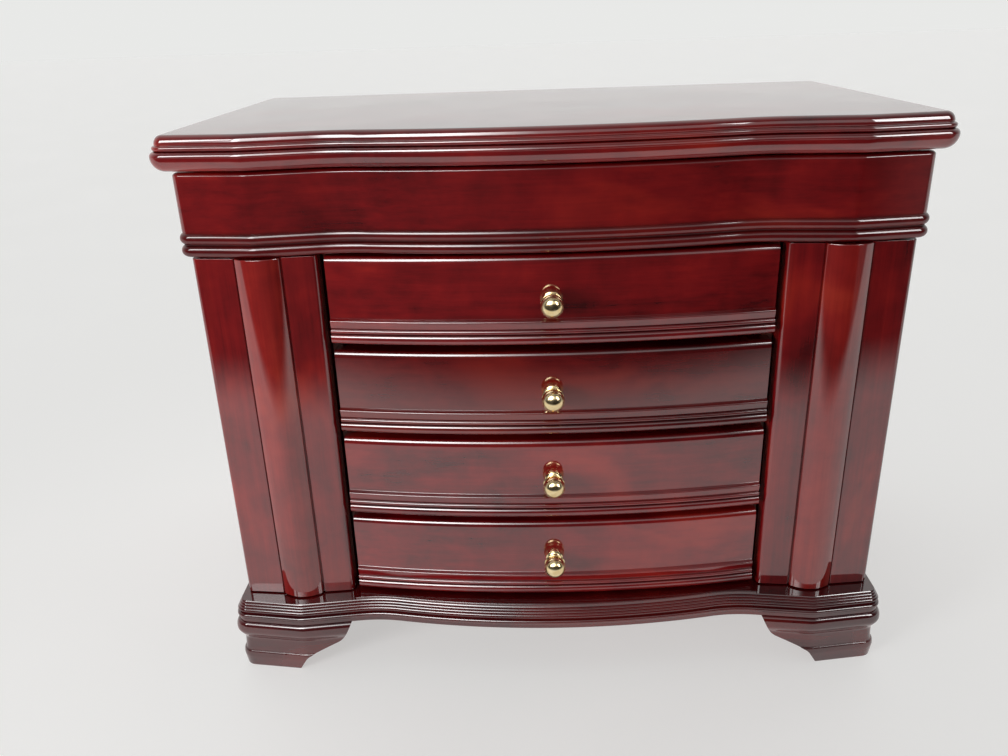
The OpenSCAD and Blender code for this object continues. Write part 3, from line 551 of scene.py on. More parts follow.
# %% Base board and floor board
BASE_REACH, BASE_SHIFT, BASE_CORNER = 2.5, -8.2, 7.5
BASE_H, BASE_BEAD, BASE_FASCIA, BASE_GROOVE = 12.0, 1.4, -0.8, -1.7
REEDS, REED_BACK, REED_RISE, REED_START, REED_ROUND = 4, 0.7, 1.3, -0.55, 20
REED_Z = BASE_H - REEDS * REED_RISE
base_z = box_of("base_board")[0][2]
lean = math.degrees(math.atan2(REED_BACK, REED_RISE))
reed_r = math.hypot(REED_BACK, REED_RISE) / (2 * math.sin(math.radians(REED_ROUND)))
reed = arc([0, 0], reed_r, lean - REED_ROUND, lean + REED_ROUND, 6)
reeds = [reed - reed[0] + [REED_START - k * REED_BACK, REED_Z + k * REED_RISE] for k in range(REEDS)]
base_profile = np.concatenate([
    [[-1.4, 0], [-0.95, 0.25], [BASE_FASCIA, 0.6], [BASE_FASCIA, 2.2]],
    arc([-BASE_BEAD, 3.7], BASE_BEAD, -62, 68, 12),
    [[BASE_GROOVE, 5.2], [BASE_GROOVE, REED_Z - 0.3]],
    *reeds,
])
points, faces, depth = moulded_board(base_profile, BASE_REACH, BASE_CORNER, BASE_SHIFT, base_z)
piece("base_plinth", points, faces, "case", base_red["x"], "lacquer", "base_board", depth)


def tube(section):
    """A closed section (m points) carried through n stations, an array (m, n, 3), with both ends closed."""
    m, n = section.shape[:2]
    faces = quads(m + 1, n) % (m * n)
    end = np.arange(m) * n
    return section, [*faces.tolist(), end.tolist(), (end + n - 1).tolist()]


def along_x(x, y, z):
    """The closed section of a board along x: y (m, n) at each row and station, z (m) for each row."""
    return np.stack(np.broadcast_arrays(x, y, np.reshape(z, (-1, 1))), axis=-1)


def front_at(x, d, radius, shift):
    """The front line's y at each x, for one distance d."""
    line = front_rows([d], [radius], shift)[0]
    return np.interp(x, line[:, 0], line[:, 1])


FLOOR_COLS, FLOOR_REACH = 90, -0.8
low, high = box_of("floor_board")
x = np.linspace(low[0], high[0], FLOOR_COLS)
edge = np.array([[0, 0], [0, 0.9], [0.2, 1.25], [0.5, high[2] - low[2]]])
front_y = front_at(x, FLOOR_REACH, CORNER_R, BASE_SHIFT) + edge[:, :1]
y = np.concatenate([front_y, np.full((2, FLOOR_COLS), high[1])])
z = np.concatenate([low[2] + edge[:, 1], [high[2], low[2]]])
points, faces = tube(along_x(x, y, z))
piece("drawer_floor", points, faces, "case", base_red["x"], "lacquer", "floor_board")
print("base and floor made")

# %% [markdown]
# ## Feet
# Bracket feet: seen from the front each foot narrows towards the floor in an S-shaped cut. Its outer faces
# stand on a low toe with a rounded shoulder, draw in to a hollow waist and swell again under the base. Row by
# row from the floor up, the outline in plan is the front line at that height's swell, cut off at the width of
# the S-curve. The rear feet are the same from the side and plain behind.

# %% Bracket feet
FOOT_H, BASE_HALF = 28.7, 172.0
FOOT_KEYS = np.array([[0, -1.1], [0.22, -0.2], [0.33, -1.1], [0.58, -1.9], [0.84, 1.4], [1, -1.0]])
SHOULDER = FOOT_KEYS[2, 0]
FOOT_ROWS, FOOT_COLS, CUT_STEPS = 56, 44, 16
CUT_TOE, CUT_LOW, CUT_HIGH, CUT_TOP, CUT_BEHIND = 32.8, 37.5, 57.0, 63.0, -20.0
CUT_LOW_Z, CUT_HIGH_Z, CUT_LOW_R, CUT_HIGH_R = 0.27 * FOOT_H, 0.575 * FOOT_H, 6, 8
DENSE_ROWS, DENSE_BELOW, DENSE_ABOVE, DENSE_TOP = 10, 0.08, 0.05, 0.05


def rounded(corners, steps=8):
    """An outline through corners (x, y, radius), each replaced by an arc that touches both its sides."""
    corners = np.array(corners, float)
    parts = []
    for before, (x, y, r), after in zip(np.roll(corners, 1, 0), corners, np.roll(corners, -1, 0)):
        p = np.array([x, y])
        u, v = before[:2] - p, after[:2] - p
        u, v = u / np.hypot(*u), v / np.hypot(*v)
        half = math.acos(np.clip(u @ v, -1, 1)) / 2
        centre = p + (u + v) / np.hypot(*(u + v)) * r / math.sin(half) if r else p
        first, last = p + u * r / math.tan(half) - centre, p + v * r / math.tan(half) - centre
        start = math.degrees(math.atan2(first[1], first[0]))
        sweep = (math.degrees(math.atan2(last[1], last[0])) - start + 540) % 360 - 180
        parts.append(arc(centre, r, start, start + sweep, steps) if r else p[None])
    return np.concatenate(parts)


def foot_swell(share):
    """Swell of the foot at each share of its height, between the keys.

    From the floor up: a leaning toe, its rounded shoulder, a hollow waist, a cosine swell and a rounded top.
    """
    k = np.clip(np.searchsorted(FOOT_KEYS[:, 0], share, "right") - 1, 0, len(FOOT_KEYS) - 2)
    a, b = FOOT_KEYS[k], FOOT_KEYS[k + 1]
    t = (share - a[:, 0]) / (b[:, 0] - a[:, 0])
    round_over = 1 - np.sqrt(np.clip(1 - t * t, 0, 1))
    hollow = np.sqrt(np.clip(1 - (1 - t) ** 2, 0, 1))
    stretches = [k == 0, (k == 1) | (k == 4), k == 2]
    blend = np.select(stretches, [t, round_over, hollow], (1 - np.cos(np.pi * t)) / 2)
    return a[:, 1] + (b[:, 1] - a[:, 1]) * blend


cut = rounded([
    [CUT_BEHIND, 0, 0],
    [CUT_TOE, 0, 0],
    [CUT_LOW, CUT_LOW_Z, CUT_LOW_R],
    [CUT_HIGH, CUT_HIGH_Z, CUT_HIGH_R],
    [CUT_TOP, FOOT_H, 0],
    [CUT_BEHIND, FOOT_H, 0],
], CUT_STEPS)
cut = cut[cut[:, 0] > 0]
close = np.linspace(0, 1, DENSE_ROWS) ** 2
share = np.unique(np.concatenate([
    np.linspace(0, 1, FOOT_ROWS),
    SHOULDER - DENSE_BELOW * close,
    SHOULDER + DENSE_ABOVE * close,
    1 - DENSE_TOP * close,
]))
swell = foot_swell(share)
foot_z = share * FOOT_H
foot_w = np.interp(foot_z, cut[:, 1], cut[:, 0])
front_end = BASE_SHIFT - BASE_REACH


def loft(ring):
    """Rings (rows, n, 3) one above the other, with the lowest and the highest closed."""
    rows, n = ring.shape[:2]
    bottom = np.arange(n)
    top = bottom + (rows - 1) * n
    return ring, [*quads(rows, n, True).tolist(), bottom[::-1].tolist(), top.tolist()]


def front_foot_ring():
    """Rows of the right front foot: front face from the S-cut to the corner, side face, and the two cuts."""
    d = BASE_REACH + swell
    line = front_rows(d, BASE_CORNER + swell, BASE_SHIFT)
    corner = line[:, -1 - CORNER_STEPS:]
    inner_x, rear_y = BASE_HALF - foot_w, front_end + foot_w
    t = np.linspace(0, 1, FOOT_COLS)[None, :-1]
    x = inner_x[:, None] * (1 - t) + corner[:, :1, 0] * t
    y = np.stack([np.interp(row_x, row[:, 0], row[:, 1]) for row_x, row in zip(x, line)])
    side = np.stack([corner[:, -1, 0], rear_y], axis=-1)[:, None]
    inner = np.stack([inner_x, rear_y], axis=-1)[:, None]
    return raised(np.concatenate([np.stack([x, y], axis=-1), corner, side, inner], axis=1), foot_z)


def rear_foot_ring():
    """Rows of the right rear foot: the swelling side face between the S-cut and the plain back."""
    out, inner = BASE_HALF + swell, BASE_HALF - foot_w
    near, back = CASE_BACK - foot_w, np.full_like(foot_w, CASE_BACK)
    plan = [(inner, near), (out, near), (out, back), (inner, back)]
    return raised(np.stack([np.stack(p, axis=-1) for p in plan], axis=1), foot_z)


def both_sides(points, faces):
    """A right-hand shape and its mirror image as one mesh."""
    points = np.asarray(points).reshape(-1, 3)
    other = [[i + len(points) for i in face[::-1]] for face in faces]
    return np.concatenate([points, points * [-1, 1, 1]]), [*[list(f) for f in faces], *other]


for name, ring, node, finish in [
    ("front_bracket_feet", front_foot_ring(), "front_feet", base_red["x"]),
    ("rear_bracket_feet", rear_foot_ring(), "rear_feet", base_red["y"]),
]:
    piece(name, *both_sides(*loft(ring)), "case", finish, "lacquer", node, crease=40)
print("foot rows:", len(foot_z))

# %% [markdown]
# ## Tray wall
# Under the lid runs the frieze, the wall of the jewelry tray: two beads below, a plain curved face and an
# eased top edge. It is three boards: the curved front and two sides, mitred at the corners. Each board is the
# profile with two inner points as a closed section, carried along the board.

# %% Tray front and sides
FRIEZE_H, TRAY_HALF, FRIEZE_BEAD, BEAD_OUT = 38.4, 159.5, 2.75, 1.4
EASE_IN, EASE_DOWN, BEAD_DARKENING = 3.2, 1.7, 0.5
BEADS_TOP = 4 * FRIEZE_BEAD
SIDE_STEPS, MITRE = 14, CORNER_STEPS // 2
_, tray_in, tray_z = box_of("tray_floor")[0]
frieze_profile = np.concatenate([
    arc([BEAD_OUT - FRIEZE_BEAD, FRIEZE_BEAD], FRIEZE_BEAD, -90, 64, 14),
    [[-0.2, 2 * FRIEZE_BEAD + 0.1]],
    arc([BEAD_OUT - FRIEZE_BEAD, 3 * FRIEZE_BEAD + 0.2], FRIEZE_BEAD, -62, 62, 12),
    [[-0.1, BEADS_TOP + 0.4], [0, BEADS_TOP + 1.2]],
    oval([-EASE_IN, FRIEZE_H - EASE_DOWN], [EASE_IN, EASE_DOWN], 0, 90, 12),
])
# The two beads at the foot of the frieze are darkened by half through the same mask, in colour and in coat.
bead_darkening = np.where(frieze_profile[:, 1] < BEADS_TOP + 0.3, BEAD_DARKENING, 0)
frieze_depth = np.concatenate([np.maximum(recess(frieze_profile), bead_darkening), [0, 0]])
line = front_rows(frieze_profile[:, 0], CORNER_R + frieze_profile[:, 0], 0)


def wall_section(outer, inner):
    """Outer plan rows (m, n, 2) and one inner row (n, 2) as the closed section of a tray board."""
    heights = np.concatenate([frieze_profile[:, 1], [FRIEZE_H, 0]]) + tray_z
    return raised(np.concatenate([outer, inner[None], inner[None]]), heights)


front = line[:, MITRE:-MITRE]
inner = np.stack([front[0, :, 0] * TRAY_HALF / front[0, -1, 0], np.full(front.shape[1], tray_in)], axis=-1)
points, faces = tube(wall_section(front, inner))
depth = np.repeat(frieze_depth, front.shape[1])
piece("tray_front_wall", points, faces, "case", red["x"], "lacquer", "tray_front", depth)

corner = line[:, -MITRE - 1:]
run = np.linspace(0, 1, SIDE_STEPS)[None, 1:]
side_y = corner[:, -1:, 1] * (1 - run) + CASE_BACK * run
side = np.stack([np.broadcast_to(corner[:, -1:, 0], side_y.shape), side_y], axis=-1)
outer = np.concatenate([corner, side], axis=1)
inner_y = np.linspace(tray_in, CASE_BACK, outer.shape[1])
inner = np.stack([np.full_like(inner_y, TRAY_HALF), inner_y], axis=-1)
points, faces = tube(wall_section(outer, inner))
depth = np.tile(np.repeat(frieze_depth, outer.shape[1]), 2)
piece("tray_side_walls", *both_sides(points, faces), "case", red["y"], "lacquer", "tray_sides", depth)
print("tray walls made at z =", round(tray_z, 2))

# %% [markdown]
# ## Door posts and columns
# The front edge of each door is a wide post whose faces slope back from a ridge, with a half-round column of
# lighter wood set in a groove down the middle. Each is one outline in plan, drawn up to the door's height,
# with its edges eased.

# %% Posts and columns
CASE_HALF, POST_IN, POST_CANT, POST_EASE, GROOVE_EASE = 166.0, 108.0, 5.5, 2.5, 0.5
POST_BEVEL, COLUMN_BEVEL, COLUMN_STEPS = 0.35, 0.3, 40
COLUMN_HALF, COLUMN_R, COLUMN_OUT, COLUMN_SEAT, COLUMN_GROOVE = 10.35, 16.0, 6.5, -1.2, 0.6
door_low, door_high = (corner[2] for corner in box_of("left_post"))
slope = math.tan(math.radians(POST_CANT))


def post_face(x):
    """The post's front, sloping back on both sides of the ridge."""
    return -(CASE_HALF - RIDGE_X) * slope + abs(x - RIDGE_X) * slope


groove = COLUMN_HALF + COLUMN_GROOVE
post_plan = rounded([
    [POST_IN, POST_DEPTH, 0],
    [POST_IN, post_face(POST_IN), POST_EASE],
    [RIDGE_X - groove, post_face(RIDGE_X - groove), GROOVE_EASE],
    [RIDGE_X - groove, COLUMN_SEAT, 0],
    [RIDGE_X + groove, COLUMN_SEAT, 0],
    [RIDGE_X + groove, post_face(RIDGE_X + groove), GROOVE_EASE],
    [CASE_HALF, post_face(CASE_HALF), POST_EASE],
    [CASE_HALF, POST_DEPTH, 0],
])
column_end = math.degrees(math.asin(COLUMN_HALF / COLUMN_R))
column_plan = np.concatenate([
    arc([RIDGE_X, COLUMN_R - COLUMN_OUT], COLUMN_R, -90 - column_end, column_end - 90, COLUMN_STEPS),
    [[RIDGE_X + COLUMN_HALF, COLUMN_SEAT], [RIDGE_X - COLUMN_HALF, COLUMN_SEAT]],
])


def upright_ring(plan, sign):
    """A plan outline at the door's two ends, mirrored for the left side."""
    ring = raised(np.broadcast_to(plan * [sign, 1], (2, *plan.shape)), [door_low, door_high])
    return ring if sign > 0 else ring[:, ::-1]


for side, sign in (("left", -1), ("right", 1)):
    body = side + "_door"
    piece(side + "_door_post", *loft(upright_ring(post_plan, sign)), body, red["z"], "lacquer",
          side + "_post", bevel=POST_BEVEL)
    piece(side + "_half_column", *loft(upright_ring(column_plan, sign)), body, column_red, "column_lacquer",
          side + "_column", bevel=COLUMN_BEVEL)
print("posts:", len(post_plan), "points in plan")

# %% [markdown]
# ## Drawer fronts
# Each drawer front is a board bowed to a long radius. Along its lower edge runs a moulding: a large bead, a
# small bead, a groove and a narrow fillet that leans out and rounds back to the plain face. The section is
# carried along the bow: at x the face lies on the circle y = face + R - sqrt((R + p)^2 - x^2), with p the
# profile's distance outwards.

# %% Section of the drawer fronts
DRAWER_HALF, DRAWER_BOW, DRAWER_FACE, DRAWER_REAR, DRAWER_H = 104.8, 8.6, -7.6, 10.0, 42.075
DRAWER_R = (DRAWER_HALF ** 2 + DRAWER_BOW ** 2) / (2 * DRAWER_BOW)
DRAWER_COLS, DRAWER_GROOVE = 91, 0.4
LARGE_BEAD, SMALL_BEAD, FILLET_EASE, TOP_IN, TOP_DOWN = 2.6, 1.1, 0.75, 2.6, 3.4
drawer_profile = np.concatenate([
    arc([0.2, LARGE_BEAD], LARGE_BEAD, -90, 66, 14),
    arc([0.9, 6.1], SMALL_BEAD, -75, 80, 10),
    [[0.75, 7.3], [0.7, 7.6], [0.95, 7.7], [1.0, 7.9], [1.7, 10.7]],
    arc([1.0, 10.9], FILLET_EASE, -10, 65, 6),
    [[0.25, 12.2], [0, 12.5]],
    oval([-TOP_IN, DRAWER_H - TOP_DOWN], [TOP_IN, TOP_DOWN], 0, 90, 14),
])
x = np.linspace(-DRAWER_HALF, DRAWER_HALF, DRAWER_COLS)
face_y = DRAWER_FACE + DRAWER_R - np.sqrt((DRAWER_R + drawer_profile[:, :1]) ** 2 - x ** 2)
drawer_y = np.concatenate([face_y, np.full((2, DRAWER_COLS), DRAWER_REAR)])
drawer_h = np.concatenate([drawer_profile[:, 1], [DRAWER_H, 0]])
drawer_depth = np.repeat(np.concatenate([recess(drawer_profile, DRAWER_GROOVE), [0, 0]]), DRAWER_COLS)
print("drawer radius", round(DRAWER_R, 1), "section points", len(drawer_h))

# %% [markdown]
# ## Knobs, and the four drawers
# The knobs are turned brass: a foot ring, a bell-shaped collar, a neck and a ball, as a profile spun on its
# axis. Each drawer then gets its front, at the height of its solid, and its knob.

# %% Fronts and knobs
COLLAR_R, COLLAR_T, BALL_R, BALL_HALF, BALL_REACH, KNOB_RISE = 5.3, 5.6, 5.4, 4.8, 8.5, 20.94
FOOT_RING, RING_T, RING_EASE, BELL_START = 4.4, 0.5, 0.2, 1.4
WAIST, NECK, NECK_DIP, RIM, TURNS = 3.4, 2.9, 0.3, 0.6, 64
bell = np.linspace(0, 1, 12)
bell_r = WAIST + (COLLAR_R - WAIST) * bell ** 2
bell_h = BELL_START + (COLLAR_T - BELL_START - RIM) * bell
dip = math.degrees(math.asin((BALL_REACH - COLLAR_T - NECK_DIP) / BALL_HALF))
knob_profile = np.concatenate([
    [[0, 0], [FOOT_RING, 0], [FOOT_RING, RING_T]],
    arc([FOOT_RING - RING_EASE, RING_T], RING_EASE, 0, 90, 3),
    np.stack([bell_r, bell_h], axis=-1),
    arc([COLLAR_R - RIM, COLLAR_T - RIM], RIM, 0, 90, 6),
    [[NECK, COLLAR_T - NECK_DIP]],
    oval([0, BALL_REACH], [BALL_R, BALL_HALF], -dip, 90, 28),
])


def spun(profile):
    """A profile (radius, height) turned about the height axis: (r cos a, r sin a, h), as rings."""
    a = np.linspace(0, 2 * np.pi, TURNS, endpoint=False)
    r, h = profile[:, :1], profile[:, 1:]
    return np.stack(np.broadcast_arrays(r * np.cos(a), r * np.sin(a), h), axis=-1)


turned = spun(knob_profile)
for number, finish in enumerate(drawer_lit_red, 1):
    body = f"drawer_{number}"
    bottom = box_of(body + "_front")[0][2]
    points, faces = tube(along_x(x, drawer_y, bottom + drawer_h))
    piece(body + "_bowed_front", points, faces, body, finish, "lacquer", body + "_front", drawer_depth)
    middle = bottom + KNOB_RISE
    knob = np.stack([turned[..., 0], DRAWER_FACE - turned[..., 2], middle + turned[..., 1]], axis=-1)
    piece(body + "_turned_knob", knob, quads(len(knob_profile), TURNS, True), body, brass, "brass",
          body + "_knob", crease=50)
print("drawers:", number, "knob points", len(knob_profile))

# %% [markdown]
# ## Velvet linings
# Every tray bay and drawer is lined with a thin velvet-covered pad that lies on the board. A pad is a slab
# whose top is a little crowned and whose edges roll over. It is two grids joined round the rim, and the
# height of the upper one falls off to the edge as a superellipse.

# %% Lining pads
PAD_COLS, PAD_CROWN, PAD_RIM = 40, 0.35, 0.1


def double_sheet(top, under):
    """Two grids of the same shape as the two faces of a slab, joined by a wall round the rim."""
    rows, cols = top.shape[:2]
    n = rows * cols
    i, j = np.arange(rows), np.arange(cols)
    rim = np.concatenate([j, i[1:] * cols + cols - 1, n - 1 - j[1:], (rows - 1 - i[1:-1]) * cols])
    after = np.roll(rim, -1)
    wall = np.stack([rim + n, after + n, after, rim], axis=-1)
    sheet = quads(rows, cols)
    points = np.concatenate([top.reshape(-1, 3), under.reshape(-1, 3)])
    return points, np.concatenate([sheet, sheet[:, ::-1] + n, wall])


def pad(low, high):
    """A thin pad on the box from low to high, with u and v from -1 to 1 across it.

    Its height is t (1 - |u|^8)^(1/2) (1 - |v|^8)^(1/2), with a rim below and an uneven crown above.
    """
    s = np.sin(np.linspace(-np.pi / 2, np.pi / 2, PAD_COLS))
    u, v = np.meshgrid(s, s)
    thick = high[2] - low[2] - PAD_RIM
    roll = np.sqrt(np.clip(1 - u ** 8, 0, 1)) * np.sqrt(np.clip(1 - v ** 8, 0, 1))
    crown = PAD_CROWN * (1 - u * u) * (1 - v * v) * (1 + 0.3 * np.sin(5 * u + 1.7) * np.sin(4 * v + 0.6))
    x = (low[0] + high[0]) / 2 + u * (high[0] - low[0]) / 2
    y = (low[1] + high[1]) / 2 + v * (high[1] - low[1]) / 2
    top = np.stack([x, y, low[2] + PAD_RIM + thick * roll + crown], axis=-1)
    under = np.stack([x, y, np.full_like(x, low[2])], axis=-1)
    return double_sheet(top, under)


SOFT_GAP, RING_BAY, DIVIDER_T, TRAY_BACK = 0.3, 56.0, 4.0, 181.0
lining_low, lining_high = (corner[2] for corner in box_of("tray_lining"))
cross = (tray_in + TRAY_BACK) / 2
bays = [(-RING_BAY, RING_BAY, tray_in, TRAY_BACK)]
for sign in (-1, 1):
    x0, x1 = sorted((sign * (RING_BAY + DIVIDER_T), sign * TRAY_HALF))
    bays.append((x0, x1, tray_in, cross - DIVIDER_T / 2))
    bays.append((x0, x1, cross + DIVIDER_T / 2, TRAY_BACK))
for number, (x0, x1, y0, y1) in enumerate(bays, 1):
    corners = (x0 + SOFT_GAP, y0 + SOFT_GAP, lining_low), (x1 - SOFT_GAP, y1 - SOFT_GAP, lining_high)
    obj = piece(f"tray_pad_{number}", *pad(*corners), "case", wine_velvet, "velvet",
                "tray_lining", crease=60)
for number in range(1, len(drawer_lit_red) + 1):
    body = f"drawer_{number}"
    obj = piece(body + "_pad", *pad(*box_of(body + "_lining")), body, wine_velvet, "velvet",
                body + "_lining", crease=60)
print("lining pads:", len(bays) + len(drawer_lit_red))

# %% [markdown]
# ## Ring rolls
# Ten padded velvet rolls lie side by side in the middle bay, and rings are held between them. A roll is a
# stuffed tube, flat underneath and gathered at its ends, so its radius falls off as an ellipse towards each
# end and small creases run out from the gathers.

# %% Ring rolls
ROLLS, ROLL_COLS, ROLL_TURNS = 10, 72, 56
GATHERS, GATHER_DEEP, WRINKLE_DEEP, ROLL_LIFT = 14, 0.05, 0.012, 0.02
roll_low, roll_high = box_of("ring_rolls")
pitch = (TRAY_BACK - tray_in - 2 * SOFT_GAP) / ROLLS
roll_r = pitch / 2 - SOFT_GAP / 2
roll_half = (roll_high[0] - roll_low[0]) / 2
s = np.sin(np.linspace(-np.pi / 2, np.pi / 2, ROLL_COLS))[:, None]
a = np.linspace(0, 2 * np.pi, ROLL_TURNS, endpoint=False)[None, :]
end = np.clip((np.abs(s) * roll_half - (roll_half - roll_r)) / roll_r, 0, 1)
shrink = np.sqrt(1 - end ** 2)
for number in range(ROLLS):
    gather = GATHER_DEEP * end * np.cos(GATHERS * a + number)
    wrinkle = WRINKLE_DEEP * np.sin(9 * s + 2 * a + number)
    wide = roll_r * shrink * (1 - np.abs(gather + wrinkle))
    z = np.maximum(roll_high[2] - roll_r + wide * np.sin(a), roll_low[2] + ROLL_LIFT)
    y = tray_in + SOFT_GAP + (number + 0.5) * pitch + wide * np.cos(a)
    ring = np.stack([np.broadcast_to(s * roll_half, y.shape), y, z], axis=-1)
    obj = piece(f"ring_roll_{number + 1}", ring, quads(ROLL_COLS, ROLL_TURNS, True), "case", wine_velvet,
                "velvet", "ring_rolls", crease=70)
print("ring rolls:", ROLLS, "radius", round(roll_r, 2))

# %% [markdown]
# ## Door pockets
# Low on the inside of each door hangs a velvet pocket that catches the ends of necklaces. It is one strip of
# cloth, held along its sides and bottom, with a hem drawn in by elastic: its belly stands off the panel, and
# small gathers run down from the hem.

# %% Pockets
POCKET_COLS, POCKET_ROWS, CLOTH_T, BELLY_GAP = 150, 40, 0.9, 0.9
SEAM_ASIDE, SEAM_BELOW, POCKET_TURN = 0.5, 0.4, 0.16
u, v = np.meshgrid(np.linspace(-1, 1, POCKET_COLS), np.linspace(0, 1, POCKET_ROWS))
belly = (1 - np.abs(u) ** 6) * (0.35 + 0.65 * np.sin(np.pi * (0.18 + 0.62 * v)))
belly = belly * np.sqrt(1 - (1 - np.clip(v / POCKET_TURN, 0, 1)) ** 2)
gathers = 0.5 * v ** 2 * np.cos(u * 46) * (1 - u ** 8) + 0.25 * np.sin(7 * u + 5 * v) * v
for side, sign in (("left", -1), ("right", 1)):
    low, high = box_of(side + "_pocket")
    deep, width, tall = high[0] - low[0], high[1] - low[1], high[2] - low[2]
    wall_x = low[0] if sign < 0 else high[0]
    stand = CLOTH_T + (deep - 2 * CLOTH_T - BELLY_GAP) * belly + gathers * (1 - np.abs(u) ** 8)
    sheet = np.stack([
        wall_x - sign * np.clip(stand, CLOTH_T, deep - CLOTH_T),
        (low[1] + high[1]) / 2 + u * (width / 2 - SEAM_ASIDE),
        low[2] + SEAM_BELOW + v * (tall - 2 * SEAM_BELOW)], axis=-1)
    points, faces = double_sheet(sheet, sheet + [sign * CLOTH_T, 0, 0])
    obj = piece(side + "_velvet_pocket", points, faces, side + "_door", wine_velvet, "velvet",
                side + "_pocket", crease=60)
    across = np.hypot(np.diff(sheet[..., 0], axis=1), np.diff(sheet[..., 1], axis=1)).sum(axis=1).mean()
    across * MM

# %% [markdown]
# ## Finishes of the plain solids
# Boards, rails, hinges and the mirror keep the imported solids, whose shape is right, and get the finish of the
# real piece, with the grain along the length of each board.

# %% Dress the solids
dress = {
    "tray_back": red["x"], "mirror_frame": red["x"], "rear_stiles": red["z"],
    "left_side_panel": red["z"], "right_side_panel": red["z"],
    "partitions": wax["y"], "back_panel": wax["x"], "drawer_runners": wax["y"],
    "tray_floor": wax["x"], "tray_dividers": wax["y"],
    "left_hook_rail": wax["y"], "right_hook_rail": wax["y"],
    "mirror": mirror_silver,
}
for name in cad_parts:
    if "hinge" in name and "pins" not in name or name.endswith("_hooks"):
        dress[name] = brass
    elif name in ("hinge_pins", "catch_magnets") or name.endswith("catch_plate"):
        dress[name] = steel
    elif name.startswith("drawer_") and name.endswith(("_box", "_bottom")):
        dress[name] = wax["y"]
for name, finish in dress.items():
    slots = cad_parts[name].data.materials
    slots.clear()
    slots.append(finish)
print("dressed solids:", len(dress))

# %% [markdown]
# ## Floor and light
# The chest stands on a pale floor that glows a little, under a broad soft ceiling light, with one small lamp
# at the left. A gloss lacquer shows mostly what it reflects, so the room around matters as much as the lamps.
# Two upright bands that only reflections see stand in front of the chest: a low dark one close by, and a high
# bright one further off with lit and unlit stretches, like windows. The sky is pale behind the chest, grey at
# the sides and dark in front. The camera sees one plain pale tone instead of it. Lengths here are in metres.

# %% Stage
FLOOR_HALF, FLOOR_GLOW = 12.0, 0.48
FLOOR_TONES = (0.49, 0.49, 0.485), (0.52, 0.52, 0.515)
GLOW_TONE = (1, 1, 0.985, 1)
BAND_REACH = 2.0
DARK_ROOM = (-0.6, 0.05), (-0.15, 0.05), (0.1, 0.025), (0.3, 0.01), (0.37, 0.015), (0.42, 0.10)
LIGHT_BAND = (
    (-1.7, 0), (-1.45, 0.9), (-1.28, 0.9), (-1.2, 0.15), (-1.1, 0.2), (-0.95, 1), (-0.5, 1), (-0.3, 0.6),
    (-0.15, 0.3), (0, 0.12), (0.2, 0.06), (0.9, 0.05), (1.15, 0.08), (1.23, 1), (1.36, 0.9), (1.43, 0.3),
    (1.55, 0.9), (1.75, 1), (1.95, 0),
)
SKY_LEFT, SKY_RIGHT, SKY_BACK = (0.30, 0.305, 0.31, 1), (0.20, 0.20, 0.205, 1), (0.84, 0.84, 0.83, 1)
DARK_LEFT, DARK_RIGHT = (0.12, 0.115, 0.115, 1), (0.03, 0.028, 0.028, 1)
SEEN_TONE = (0.81, 0.815, 0.803, 1)


def matt(name, low, high, glow):
    """Matt board with faint clouds that glows a little."""
    material, r = finish_for(name)
    cloud = r.noise(r.place(), 6, 4, 0.6, 0.4)
    r.surface(
        Base_Color=r.ramp(cloud, (0.3, low), (0.7, high)),
        Roughness=r.span(cloud, 0.3, 0.7, 0.5, 0.65),
        Specular_IOR_Level=0.2,
        Emission_Color=GLOW_TONE,
        Emission_Strength=glow,
    )
    return material


def backdrop(name, corners, finish):
    """A flat sheet through four corners, in metres, that isn't part of the chest."""
    mesh = bpy.data.meshes.new(name)
    mesh.from_pydata(corners, [], [[0, 1, 2, 3]])
    mesh.materials.append(finish)
    obj = bpy.data.objects.new(name, mesh)
    bpy.context.collection.objects.link(obj)
    return obj


floor_corners = [[x * FLOOR_HALF, y * FLOOR_HALF, 0] for x, y in ((-1, -1), (1, -1), (1, 1), (-1, 1))]
backdrop("floor", floor_corners, matt("pale floor", *FLOOR_TONES, FLOOR_GLOW))


def reflected_band(name, y, stops, low, rise, high, fall, strength):
    """An upright band at y that only reflections see.

    Its brightness along x follows stops. It fades in from low over rise and out to high over fall.
    """
    reach = BAND_REACH
    material, r = finish_for(name)
    x, _, z = (r.node("ShaderNodeSeparateXYZ", None, {0: r.place()}, axis) for axis in range(3))
    along = [((at + reach) / (2 * reach), (level, level, level)) for at, level in stops]
    r.surface(
        Base_Color=(0, 0, 0, 1),
        Specular_IOR_Level=0.0,
        Emission_Color=r.ramp((x + reach) / (2 * reach), *along),
        Emission_Strength=strength,
        Alpha=r.span(z, low, low + rise) * (1 - r.span(z, high - fall, high)),
    )
    band = backdrop(name, [[-reach, y, low], [reach, y, low], [reach, y, high], [-reach, y, high]], material)
    band.visible_camera = band.visible_diffuse = band.visible_shadow = False


reflected_band("dark room", y=-0.39, stops=DARK_ROOM, low=0.0, rise=0.06, high=0.24, fall=0.02, strength=1)
reflected_band("light band", y=-1.3, stops=LIGHT_BAND, low=0.75, rise=0.3, high=2.5, fall=0.7, strength=13)

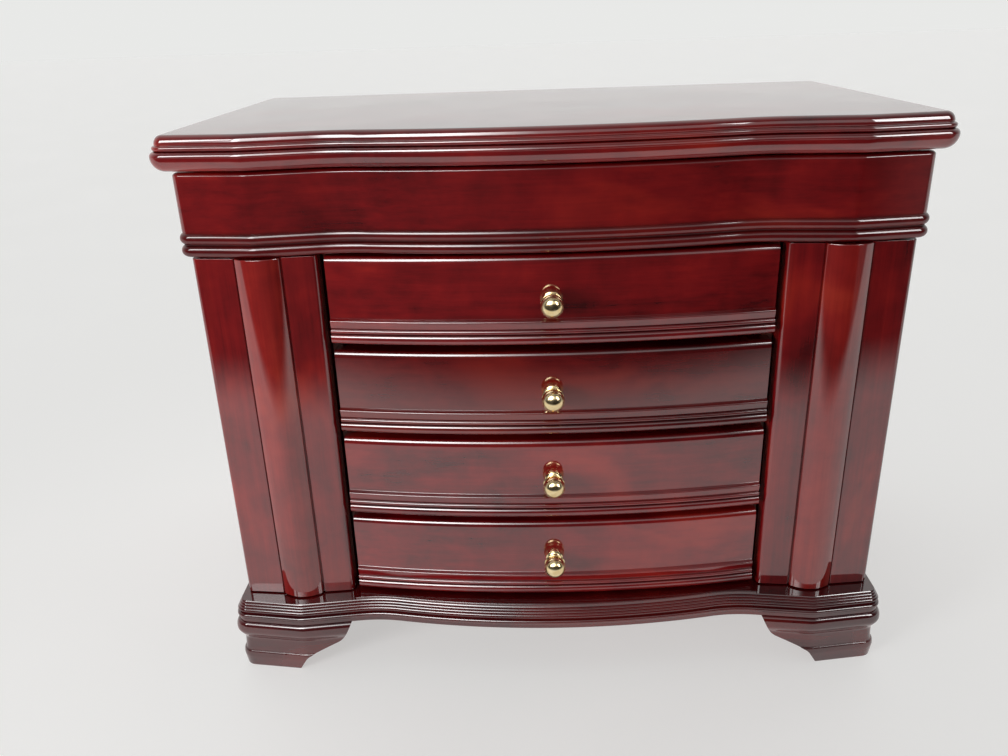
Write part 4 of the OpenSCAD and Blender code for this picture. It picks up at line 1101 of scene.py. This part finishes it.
world = bpy.data.worlds.new("pale room")
bpy.context.scene.world = world
world.use_nodes = True
sky = Recipe(world.node_tree)
direction = sky.node("ShaderNodeTexCoord", output=0)
aside, across, up = (sky.node("ShaderNodeSeparateXYZ", None, {0: direction}, axis) for axis in range(3))
dark_front = sky.span(0 - across, 0.1, 0.3) * (1 - sky.span(up, 0.85, 0.98))
sides = sky.mix(sky.span(aside, -0.6, 0.6), SKY_LEFT, SKY_RIGHT)
room = sky.mix(sky.span(across, -0.2, 0.6), sides, SKY_BACK)
dark = sky.mix(sky.span(aside, -0.4, 0.3), DARK_LEFT, DARK_RIGHT)
room = sky.mix(dark_front, room, dark)
seen = sky.node("ShaderNodeLightPath", output=0)
background = sky.node("ShaderNodeBackground", None, {0: sky.mix(seen, room, SEEN_TONE), 1: 1.0})
sky.node_out("ShaderNodeOutputWorld", background)


def lamp(name, light, place, target):
    """A lamp at place, turned to face target and hidden from the camera and from reflections."""
    obj = bpy.data.objects.new(name, light)
    back = np.array(place, float) - np.array(target, float)
    z = back / np.linalg.norm(back)
    x = np.cross([0, 1, 0] if abs(z[2]) > 0.9 else [0, 0, 1], z)
    x /= np.linalg.norm(x)
    turn = np.eye(4)
    turn[:3, 0], turn[:3, 1], turn[:3, 2], turn[:3, 3] = x, np.cross(z, x), z, place
    obj.matrix_world = Matrix(turn.tolist())
    obj.visible_camera = obj.visible_glossy = False
    bpy.context.collection.objects.link(obj)


CEILING_FROM, CEILING_WIDTH, CEILING_POWER = (-0.5, -0.9, 2), 100, 0.35
ceiling = bpy.data.lights.new("ceiling", "SUN")
ceiling.angle, ceiling.energy = math.radians(CEILING_WIDTH), CEILING_POWER
lamp("ceiling", ceiling, CEILING_FROM, (0, 0, 0))

LAMP_AT, LAMP_AIM = (-0.72, -0.62, 0.3), (-0.1, -0.09, 0.18)
LAMP_SIZE, LAMP_POWER, LAMP_SPREAD = 0.3, 0.6, 60
left_lamp = bpy.data.lights.new("left lamp", "AREA")
left_lamp.shape, left_lamp.size = "SQUARE", LAMP_SIZE
left_lamp.energy, left_lamp.spread = LAMP_POWER, math.radians(LAMP_SPREAD)
lamp("left lamp", left_lamp, LAMP_AT, LAMP_AIM)
bpy.context.scene.view_settings.view_transform = "Standard"

# %% [markdown]
# ## Count of pieces
# The number of pieces made from formulas is printed.

# %% Count of pieces
print("pieces made:", len(made))
